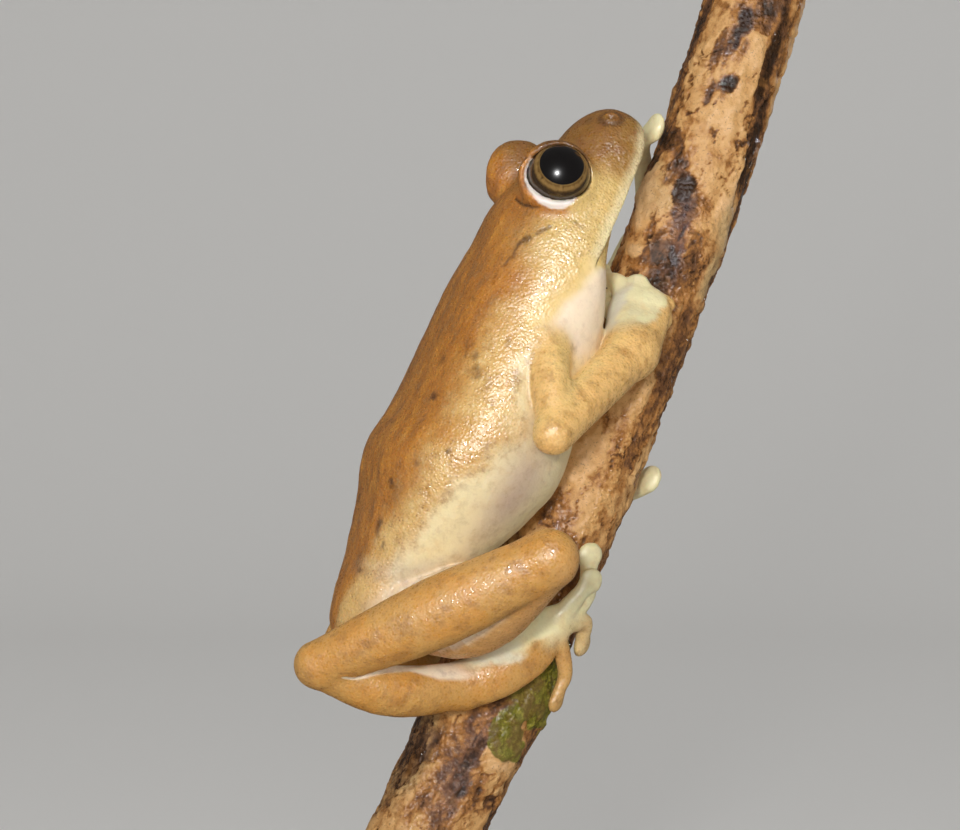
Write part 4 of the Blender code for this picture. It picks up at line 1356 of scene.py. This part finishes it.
def skin_finish(settings):
    """Moist, granular frog skin."""
    finish = Finish(
        "frog skin", IOR=1.45, Specular_IOR_Level=0.7, Subsurface_Weight=0.12,
        Subsurface_Scale=0.0006, Subsurface_Radius=(1.0, 0.45, 0.2),
    )
    place = finish.place()
    lie = finish.place("lie", (0.3, 1.0, 1.0))
    cloud = finish.noise(place, 2.6, 4.0)
    mottle = finish.noise(place, 1.0, 4.0)
    streak = finish.noise(lie, 0.8, 5.0, 0.6)
    speck = finish.noise(place, 0.12, 1.0)
    fine = finish.noise(place, 0.4, 3.0)
    veins = finish.noise(place, 0.7, 5.0, 0.65)
    granular = finish.mask("granular")

    flank = finish.mix(settings.flank, settings.limb, cloud.ease(0.42, 0.62) * 0.7)
    flank = finish.mix(flank, settings.brown, (mottle * 0.6 + streak * 0.4).ease(0.52, 0.68) * 0.4)
    back = finish.mix(settings.back, settings.amber, streak.ease(0.45, 0.68) * 0.7)
    back = finish.mix(back, settings.brown, streak.ease(0.48, 0.34) * 0.65)
    body = finish.mix(flank, back, finish.mask("back"))
    body = finish.mix(body, settings.face, finish.mask("cheek") * (0.6 + mottle * 0.5))
    # The snout's own mottled brown, made darker as painted shade
    snout = finish.mix(settings.snout, settings.brown, mottle.ease(0.44, 0.64) * 0.75)
    body = finish.mix(body, snout, finish.mask("snout") * (0.6 + mottle * 0.6))
    belly = finish.mix(settings.belly, settings.flank, mottle.ease(0.5, 0.75) * 0.3)
    body = finish.mix(body, belly, finish.mask("belly"))
    body = finish.mix(body, settings.lilac, finish.mask("lilac") * (0.6 + mottle * 0.5))
    body = finish.mix(body, settings.waist, finish.mask("waist") * 0.85)
    body = finish.mix(body, settings.gold, finish.mask("gold") * 0.8)
    body = finish.mix(body, settings.throat, finish.mask("pink"))
    body = finish.mix(body, settings.belly, finish.mask("lip") * 0.85)
    limb = finish.mix(settings.limb, settings.amber, cloud.ease(0.45, 0.62) * 0.5)
    limb = finish.mix(limb, settings.brown, mottle.ease(0.50, 0.68) * 0.4)
    arm = finish.mix(settings.arm, settings.limb, veins.ease(0.45, 0.62) * 0.5)
    arm = finish.mix(arm, settings.brown, mottle.ease(0.54, 0.7) * 0.3)
    limb = finish.mix(limb, arm, finish.mask("arms"))
    limb = finish.mix(limb, settings.gold, finish.mask("arm_inner"))
    limb = finish.mix(limb, settings.inner, finish.mask("leg_inner"))
    # Painted shade on the thighs' undersides
    limb = finish.mix(limb, settings.under, finish.mask("under") * 0.85)
    tone = finish.mix(body, limb, finish.mask("limb"))
    digit = finish.mix(settings.digit, settings.gold, mottle.ease(0.45, 0.7) * 0.3)
    digit = finish.mix(digit, settings.web, finish.mask("web"))
    tone = finish.mix(tone, digit, finish.mask("grip"))

    dots = finish.beads(place, 0.26, "F1").ease(0.36, 0.12) * mottle.ease(0.42, 0.62)
    tone = finish.mix(tone, settings.brown, (dots * 0.5 + speck.ease(0.45, 0.75) * 0.25) * granular)
    warm = finish.mask("back").most(finish.mask("limb"))
    tone = finish.mix(tone, settings.belly, fine.ease(0.52, 0.7) * granular * (0.22 - warm * 0.18))
    tone = finish.mix(tone, settings.brown, veins.ease(0.46, 0.72) * finish.mask("mottled") * 0.6)
    # Dark lines and spots, and painted shade round the eyes and nostrils and along the mouth
    dark = finish.mask("dark")
    tone = finish.mix(tone, settings.dark, (dark * (0.6 + fine * 0.8)).ease(0.1, 0.9) * 0.9)
    tone = finish.mix(tone, settings.crescent, finish.mask("crescent"))

    grains = 1 - finish.beads(place, 0.16)
    coarse = 1 - finish.beads(place, 0.36)
    height = (grains + coarse * 0.5 + fine * 0.2) * (0.12 + granular * 0.88)
    wet = finish.beads(place, 0.27, "F1").ease(0.42, 0.26) * (0.35 + granular * 0.65)
    return finish.feed(
        Base_Color=tone,
        Roughness=0.30 + fine * 0.12 - wet * 0.24 + finish.mask("dry") * (0.2 - wet * 0.16),
        Normal=finish.bump(height, 0.052),
    )


class FROG_OT_eyes(bpy.types.Operator):
    """Makes the two eyeballs with their pupils and veined irises"""

    bl_idname = "frog.eyes"
    bl_label = "Eyes"

    def execute(self, context):
        settings = context.scene.frog_eyes
        finish = eye_finish(settings)
        for side, centre, radius in eye_places():
            axis = frog_way(sided(PUPIL_GAZE, side))
            across = unit(np.cross(axis, frog_way((0.0, 1.0, 0.0))))
            upward = np.cross(axis, across)
            angles = np.linspace(0, math.pi, EYE_RINGS)[1:-1]
            turns = np.linspace(0, 2 * math.pi, EYE_SIDES, endpoint=False)
            rings = []
            for angle in angles:
                way = across * np.cos(turns)[:, None] + upward * np.sin(turns)[:, None]
                dome = radius * (1 + CORNEA_RISE * math.exp(-(angle / CORNEA_SPREAD) ** 2))
                rings.append(centre + dome * (math.cos(angle) * axis + math.sin(angle) * way))
            front = centre + radius * (1 + CORNEA_RISE) * axis
            back = centre - radius * axis
            points, quads, caps = loft(rings, (front, back))
            away = unit(points - centre)
            off = np.degrees(np.arccos(np.clip(away @ axis, -1, 1)))
            turn = np.stack((away @ across, away @ upward, np.zeros(len(away))), axis=1)
            turn = turn / np.maximum(np.linalg.norm(turn, axis=1, keepdims=True), 1e-6)
            masks = {"off_axis": off, "way_round": turn}
            piece = make_piece("eyeball_" + side, points, (quads, caps), finish, masks)
            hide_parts("eye_" + side)
            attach(piece, "root")
        return {"FINISHED"}


def eye_finish(settings):
    """A wet eye: black pupil, thin gold rim, veined brown iris and dark outer ring."""
    finish = Finish("frog eye", Roughness=0.25, IOR=1.37, Coat_Weight=1.0, Coat_Roughness=0.02, Coat_IOR=1.5)
    _, _, radius = next(eye_places())
    pupil = math.degrees(math.asin(settings.pupil_radius / METRES / radius))
    off = finish.mask("off_axis")
    place = finish.place()
    around = finish.place("way_round", (3.2, 3.2, 3.2))
    veins = finish.noise(around, 0.42, 3.0, 0.6, 1.2)
    cloud = finish.noise(place, 0.25, 3.0)
    tone = finish.mix(settings.iris, settings.iris_light, (veins * 0.7 + cloud * 0.5).ease(0.62, 0.82) * 0.4)
    tone = finish.mix(tone, settings.iris_dark, (veins * 0.6 + cloud * 0.5).ease(0.52, 0.36) * 0.75)
    tone = finish.mix(tone, settings.iris_dark, (off + cloud * 8).ease(pupil + 14, pupil + 22) * 0.85)
    ragged = off + cloud * 9 + veins * 5
    band = ragged.ease(pupil + 11, pupil + 14) * ragged.ease(pupil + 21, pupil + 17)
    tone = finish.mix(tone, settings.iris_light, band * (0.1 + veins * 0.7))
    rim = (off + cloud * 2).ease(pupil + 2.6, pupil + 1.4)
    tone = finish.mix(tone, settings.iris_light, rim * 0.8)
    tone = finish.mix(tone, (0.004, 0.003, 0.003), off.ease(pupil + 0.9, pupil - 0.5))
    return finish.feed(Base_Color=tone)


class FROG_OT_stem(bpy.types.Operator):
    """Makes the flaking, mossy bark of the perch"""

    bl_idname = "frog.stem"
    bl_label = "Stem"

    def execute(self, context):
        settings = context.scene.frog_stem
        step = settings.step / METRES
        heights = np.arange(STEM_BOTTOM, STEM_TOP + step / 2, step)
        turns = np.arange(0, 360, math.degrees(step / STEM_RADIUS))
        shape = (len(heights), len(turns))
        height, angle = (part.ravel() for part in np.meshgrid(heights, turns, indexing="ij"))
        masks, relief = bark_relief(height, (angle + 180) % 360 - 180)
        rings = around_stem(np.stack((height, angle, relief), axis=-1)).reshape(*shape, 3)
        rings, masks = with_ends(rings, masks, shape)
        points, quads, caps = loft(rings)
        piece = make_piece("stem_bark", points, (quads, caps), bark_finish(settings), masks)
        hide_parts("perch")
        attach(piece, "root")
        return {"FINISHED"}


# Patches on the bark: height, angle, half length, half angle, and how much paler or darker. The darker
# patches at angles 44, 62 and 78 on the right side paint the shade on the stem's right side
TONE_AND_SHADE_PATCHES = (
    (22.0, -2, 0.7, 11, -1.0), (24.6, -9, 0.9, 7, -0.95), (25.9, -2, 0.8, 7, -0.85),
    (23.4, -13, 1.0, 4, -0.6),
    (21.2, -18, 1.0, 5, -0.5), (19.8, -8, 1.2, 4, -0.4), (24.5, 44, 4.5, 9, -0.7), (27.0, 82, 5.0, 12, 0.4),
    (19.0, 62, 4.0, 12, -0.6), (14.5, 78, 4.0, 10, -0.6), (26.6, 20, 1.2, 14, -0.5),
    (23.5, -70, 4.0, 10, -0.45), (17.7, -55, 0.9, 26, -0.75), (16.5, -72, 1.0, 18, -0.5),
    (16.6, -30, 0.9, 9, -0.6),
    (14.8, -10, 1.0, 12, -0.75), (13.4, 2, 1.2, 14, -0.65), (22.5, -40, 5.0, 18, 0.35),
    (18.5, 6, 3.0, 32, 0.55),
    (23.0, 20, 3.5, 15, 0.4), (15.8, 42, 3.0, 14, 0.35), (13.6, -48, 2.4, 24, 1.0), (12.3, 62, 3.5, 14, 0.3),
    (10.5, 0, 2.5, 40, -0.35), (11.6, 26, 1.5, 12, -0.4), (4.0, 60, 5.0, 25, -0.3), (1.5, 30, 3.0, 10, 0.15),
    (-2.8, -8, 2.0, 22, 0.5), (-4.4, 18, 1.6, 12, 0.12), (23.5, -23, 1.6, 7, -0.4), (-5.5, 32, 2.2, 12, 0.1), 
    (-3.0, 72, 4.0, 16, 0.2),
    (-19.5, 3, 3.0, 20, -0.45), (-23.5, 12, 4.0, 12, -0.5), (-23.6, 55, 3.0, 20, 0.25),
    (-20.9, 28, 1.0, 10, 0.5), (-22.0, -65, 4.0, 20, -0.35), (-24.0, -40, 3.0, 12, 0.15),
    (6.0, 150, 6.0, 50, 0.4), (22.0, 165, 6.0, 45, 0.4), (-12.0, 150, 5.0, 40, 0.3),
    (16.0, 130, 2.0, 25, -0.7),
    (-4.0, -150, 3.0, 30, -0.5), (-24.0, 170, 3.0, 40, 0.3), (-16.0, -120, 3.0, 25, -0.4),
)
OLIVE_PATCHES = (
    (14.0, -46, 2.5, 26, 0.55), (12.3, 62, 3.5, 16, 0.8), (-22.0, -60, 4.0, 25, 0.8),
    (-9.0, -60, 4.0, 30, 0.6),
    (-13.0, 170, 4.0, 40, 0.7), (8.0, -160, 4.0, 40, 0.5),
)
MOSS_PATCHES = (
    (-18.9, 36, 1.3, 18, 0.9), (-17.0, 52, 2.2, 28, 1.0), (-15.0, 48, 2.2, 26, 0.9),
    (-21.0, 165, 2.6, 28, 0.7),
)
MOSS_HOLES = ((-18.3, 46, 0.32, 4, 1.0),)
WET_PATCHES = (
    (-19.2, 2, 3.0, 16, 1.0), (-22.4, 6, 3.0, 16, 1.0), (-25.8, 14, 3.0, 14, 1.0), (-21.0, -18, 2.5, 12, 0.7),
    (-24.5, -8, 3.0, 14, 0.8), (-3.5, 30, 5.0, 10, 1.0), (2.0, 28, 2.5, 9, 0.8), (11.5, 20, 2.0, 22, 1.0),
    (14.5, -8, 1.5, 14, 0.9), (22.0, -2, 1.0, 14, 1.0), (25.0, -6, 1.5, 10, 1.0), (9.5, 30, 2.0, 20, 0.6),
    (-17.5, 20, 2.0, 14, 0.8), (-6.5, 40, 3.0, 12, 0.6),
)


def patch_mask(patches, height, angle, ragged, blend=0.4):
    """How far each place lies in patches, paler ones adding and darker ones taking away."""
    mask = np.zeros(len(height))
    for middle, way, tall, wide, strength in patches:
        turn = (angle - way + 180) % 360 - 180
        gap = np.hypot((height - middle) / tall, turn / wide)
        reach = strength * ease(1.0 + blend, 1.0 - blend, gap + ragged)
        mask = np.where(np.abs(reach) > np.abs(mask), reach, mask)
    return mask


def bark_relief(height, angle):
    """Masks of the bark at each place, and how far it stands out from the plain stem."""
    turn = np.radians(angle)
    round_places = np.stack((STEM_RADIUS * np.cos(turn), STEM_RADIUS * np.sin(turn), height), axis=1)
    warp = np.stack([layered(round_places, 1.3, 3, seed) for seed in (43, 46, 49)], axis=1)
    warped = round_places * (1, 1, 0.65) + 0.4 * warp
    ragged = 0.45 * layered(round_places, 1.8, 4, 51)
    plates = layered(warped, 1.7, 4, 61)
    # Bark tone, with painted shade on the stem's right side from the patches
    tone = 0.45 + 0.2 * plates + 0.55 * patch_mask(TONE_AND_SHADE_PATCHES, height, angle, ragged)
    tone = tone + 0.07 * layered(round_places * (1, 1, 0.4), 0.35, 2, 67)
    tone = tone + 0.07 * layered(round_places, 0.45, 2, 69)
    moss = np.clip(patch_mask(MOSS_PATCHES, height, angle, 1.3 * ragged, 0.25), 0, 1)
    moss = moss * (1 - patch_mask(MOSS_HOLES, height, angle, 0.6 * ragged))
    olive = patch_mask(OLIVE_PATCHES, height, angle, ragged)
    cracks = ease(0.12, 0.0, np.abs(layered(warped, 1.3, 3, 71)))
    cracks = cracks * ease(-0.6, 0.4, layered(round_places, 2.0, 2, 73))
    lumps = layered(round_places, 3.2, 3, 81)
    fine = layered(round_places, 0.5, 3, 91)
    clumps = layered(round_places, 0.42, 2, 95)
    step = ease(0.40, 0.50, tone) + ease(0.68, 0.76, tone)
    relief = -0.17 + 0.12 * lumps + 0.075 * step + 0.12 * (tone - 0.5) - 0.10 * cracks + 0.06 * fine
    relief = relief + moss * (0.12 + 0.10 * clumps)
    masks = {
        "tone": np.clip(tone - 0.35 * cracks, 0, 1), "olive": olive, "moss": moss,
        "end": np.zeros(len(height)),
        "wet": np.clip(patch_mask(WET_PATCHES, height, angle, ragged), 0, 1),
    }
    return masks, np.clip(relief, -0.5, 0.24)


def with_ends(rings, masks, shape):
    """Adds rings that close the cut ends with flat faces, and the masks of these rings and of the tips."""
    faces = []
    for ring in (rings[0], rings[-1]):
        middle = ring.mean(axis=0)
        faces.append([middle + share * (ring - middle) for share in CUT_FACE])
    rings = np.concatenate((faces[0][::-1], rings, faces[1]))
    added = {}
    for name, values in masks.items():
        cut = float(name == "end")
        face = np.full((len(CUT_FACE), shape[1]), cut)
        added[name] = np.append(np.concatenate((face, values.reshape(shape), face)), (cut, cut))
    return rings, added


def bark_finish(settings):
    """Damp, flaking bark with moss, and pale wood at the cut ends."""
    finish = Finish("stem bark", IOR=1.45, Specular_IOR_Level=0.35)
    place = finish.place()
    cloud = finish.noise(place, 1.3, 4.0)
    fine = finish.noise(place, 0.35, 5.0, 0.65)
    fibre = finish.noise(finish.place(None, (1.0, 1.0, 0.22)), 0.22, 3.0, 0.6)
    speck = finish.noise(place, 0.14, 2.0)
    moss = finish.mask("moss")
    level = finish.mask("tone") + (fine - 0.5) * 0.6 + (fibre - 0.5) * 0.15
    tone = finish.mix(settings.crack, settings.under, level.ease(0.02, 0.28))
    tone = finish.mix(tone, settings.rust, level.ease(0.24, 0.50))
    tone = finish.mix(tone, settings.flake, level.ease(0.42, 0.66))
    tone = finish.mix(tone, settings.pale, level.ease(0.64, 0.95) * (0.35 + cloud * 0.9))
    tone = finish.mix(tone, settings.olive, finish.mask("olive") * (0.4 + cloud * 0.5) * level.ease(0.1, 0.6))
    tone = finish.mix(tone, settings.rust, cloud.ease(0.55, 0.68) * 0.35)
    tone = finish.mix(tone, settings.crack, speck.ease(0.58, 0.72) * 0.45)
    green = finish.mix(settings.moss, settings.moss_tip, fine.ease(0.45, 0.68))
    green = finish.mix(green, settings.crack, speck.ease(0.5, 0.66) * 0.45)
    green = finish.mix(green, settings.under, cloud.ease(0.45, 0.6) * 0.5)
    tone = finish.mix(tone, green, (moss + fine * 0.6 - 0.3).ease(0.25, 0.6) * 0.95)
    wood = finish.mix(settings.pale, settings.flake, fine.ease(0.4, 0.65))
    tone = finish.mix(tone, wood, finish.mask("end"))
    wet = (level.ease(0.66, 0.30) * cloud.ease(0.34, 0.50)).most(finish.mask("wet"))
    bubbles = (1 - finish.beads(place, 0.24)) * (0.25 + wet * 0.9)
    return finish.feed(
        Base_Color=tone,
        Roughness=0.60 - wet * 0.48,
        Normal=finish.bump(fine * 0.6 + fibre * 0.15 + bubbles, 0.13),
    )


class FROG_OT_stand(bpy.types.Operator):
    """Gives the stand's wooden base and steel rod their finish"""

    bl_idname = "frog.stand"
    bl_label = "Stand"

    def execute(self, context):
        settings = context.scene.frog_stand
        for node, finish in (("stand_base", wood_finish(settings)), ("stand_rod", steel_finish(settings))):
            mesh = frame["nodes"][node].data
            mesh.materials.clear()
            mesh.materials.append(finish)
        return {"FINISHED"}


def wood_finish(settings):
    """Dark turned wood under satin varnish."""
    finish = Finish("stand wood", IOR=1.5, Coat_Roughness=0.2)
    grainy = finish.place(None, (0.08, 1.0, 1.0))
    place = finish.place()
    lines = finish.noise(grainy, 1.2, 6.0, 0.6, 0.4)
    pores = finish.noise(finish.place(None, (0.12, 1.0, 1.0)), 0.35, 3.0)
    rings = finish.noise(grainy, 5.0, 3.0)
    tone = finish.mix(settings.wood, settings.wood_light, lines.ease(0.35, 0.68))
    tone = finish.mix(tone, (0.05, 0.03, 0.02), pores.ease(0.56, 0.68) * 0.6)
    tone = finish.mix(tone, settings.wood_light, rings.ease(0.5, 0.75) * 0.35)
    return finish.feed(
        Base_Color=tone,
        Roughness=0.42 + pores * 0.15,
        Coat_Weight=0.35 + finish.noise(place, 8.0) * 0.2,
        Normal=finish.bump(pores, 0.03, 0.6),
    )


def steel_finish(settings):
    """Satin steel, brushed along the rod."""
    finish = Finish("rod steel", Metallic=1.0)
    brushed = finish.noise(finish.place(None, (1.0, 1.0, 0.03)), 0.08, 3.0)
    tone = finish.mix(settings.steel, (0.42, 0.42, 0.43), brushed * 0.4)
    return finish.feed(
        Base_Color=tone,
        Roughness=0.24 + brushed * 0.18,
        Normal=finish.bump(brushed, 0.004),
    )


class FROG_OT_stage(bpy.types.Operator):
    """Makes the pale floor and backdrop, the soft lights and the camera"""

    bl_idname = "frog.stage"
    bl_label = "Stage"

    def execute(self, context):
        settings = context.scene.frog_studio
        make_backdrop(settings)
        for name, (size, place, target) in SOFT_LAMPS.items():
            make_lamp(name, getattr(settings, name), size, place, target, glints=False)
        pieces = {**bpy.data.objects, **frame["nodes"]}
        for name, (setting, size, place, lit) in GLINT_LAMPS.items():
            lamp = make_lamp(name, getattr(settings, setting), size, place, MIDDLE, glints=True)
            light_only(lamp, [pieces[piece] for piece in lit])
        world = bpy.data.worlds.new("studio")
        world.use_nodes = True
        world.node_tree.nodes["Background"].inputs["Color"].default_value = WORLD_COLOUR
        world.node_tree.nodes["Background"].inputs["Strength"].default_value = WORLD_STRENGTH
        context.scene.world = world
        context.scene.view_settings.view_transform = "Standard"
        camera = bpy.data.objects.new("camera", bpy.data.cameras.new("camera"))
        camera.data.lens = settings.lens
        camera.data.sensor_width = SENSOR_WIDTH
        camera.data.clip_start, camera.data.clip_end = CAMERA_CLIP
        camera.location = (0.0, -settings.distance, EYE_LEVEL * METRES)
        camera.rotation_euler = (math.pi / 2, 0.0, 0.0)
        context.scene.collection.objects.link(camera)
        context.scene.camera = camera
        return {"FINISHED"}


def make_backdrop(settings):
    """A floor that curves up into a backdrop behind the model."""
    bend = np.linspace(0, math.pi / 2, 16)
    profile = [(-BACKDROP_HALF, 0.0)]
    for turn in bend:
        back = BACKDROP_DEPTH - BACKDROP_BEND * (1 - math.sin(turn))
        profile.append((back, BACKDROP_BEND * (1 - math.cos(turn))))
    profile.append((BACKDROP_DEPTH, BACKDROP_HEIGHT))
    points = [(x, y, z) for y, z in profile for x in (-BACKDROP_HALF, BACKDROP_HALF)]
    faces = [(2 * i, 2 * i + 1, 2 * i + 3, 2 * i + 2) for i in range(len(profile) - 1)]
    finish = Finish("backdrop", Roughness=0.8, Base_Color=(*settings.floor, 1.0))
    piece = make_piece("backdrop", np.array(points) / METRES, (np.array(faces),), finish.material, {})
    piece.visible_glossy = False


def make_lamp(name, power, size, place, target, glints):
    """A square soft lamp at a place, turned to a target, which only lights or only glints."""
    lamp = bpy.data.lights.new(name, "AREA")
    lamp.energy = power
    lamp.size = size
    light = bpy.data.objects.new(name, lamp)
    light.location = place
    light.rotation_euler = (Vector(target) - Vector(place)).to_track_quat("-Z", "Y").to_euler()
    light.visible_diffuse = not glints
    light.visible_glossy = glints
    bpy.context.scene.collection.objects.link(light)
    return light


def light_only(light, pieces):
    """Keeps a lamp's light to some pieces."""
    lit = bpy.data.collections.new("lit by " + light.name)
    for piece in pieces:
        lit.objects.link(piece)
    light.light_linking.receiver_collection = lit


class FROG_PT_panel(bpy.types.Panel):
    """Lists the steps that dress the model"""

    bl_idname = "FROG_PT_panel"
    bl_label = "Reed frog model"
    bl_space_type = "VIEW_3D"
    bl_region_type = "UI"
    bl_category = "Frog"

    def draw(self, context):
        for name in STEPS:
            self.layout.operator("frog." + name)


STEPS = ("stand", "stem", "eyes", "skin", "stage")
GROUPS = {
    "frog_skin": FrogSkinSettings, "frog_eyes": FrogEyeSettings, "frog_stem": StemSettings,
    "frog_stand": StandSettings, "frog_studio": StudioSettings,
}
CLASSES = (
    *GROUPS.values(), FROG_OT_skin, FROG_OT_eyes, FROG_OT_stem, FROG_OT_stand, FROG_OT_stage, FROG_PT_panel,
)


def register():
    """Adds the classes and the settings."""
    for kind in CLASSES:
        bpy.utils.register_class(kind)
    for name, group in GROUPS.items():
        setattr(bpy.types.Scene, name, PointerProperty(type=group))


def unregister():
    """Takes the settings and the classes away."""
    for name in GROUPS:
        delattr(bpy.types.Scene, name)
    for kind in reversed(CLASSES):
        bpy.utils.unregister_class(kind)


def main():
    """Dresses the model step by step."""
    register()
    for name in STEPS:
        getattr(bpy.ops.frog, name)()


if __name__ == "__main__":
    main()
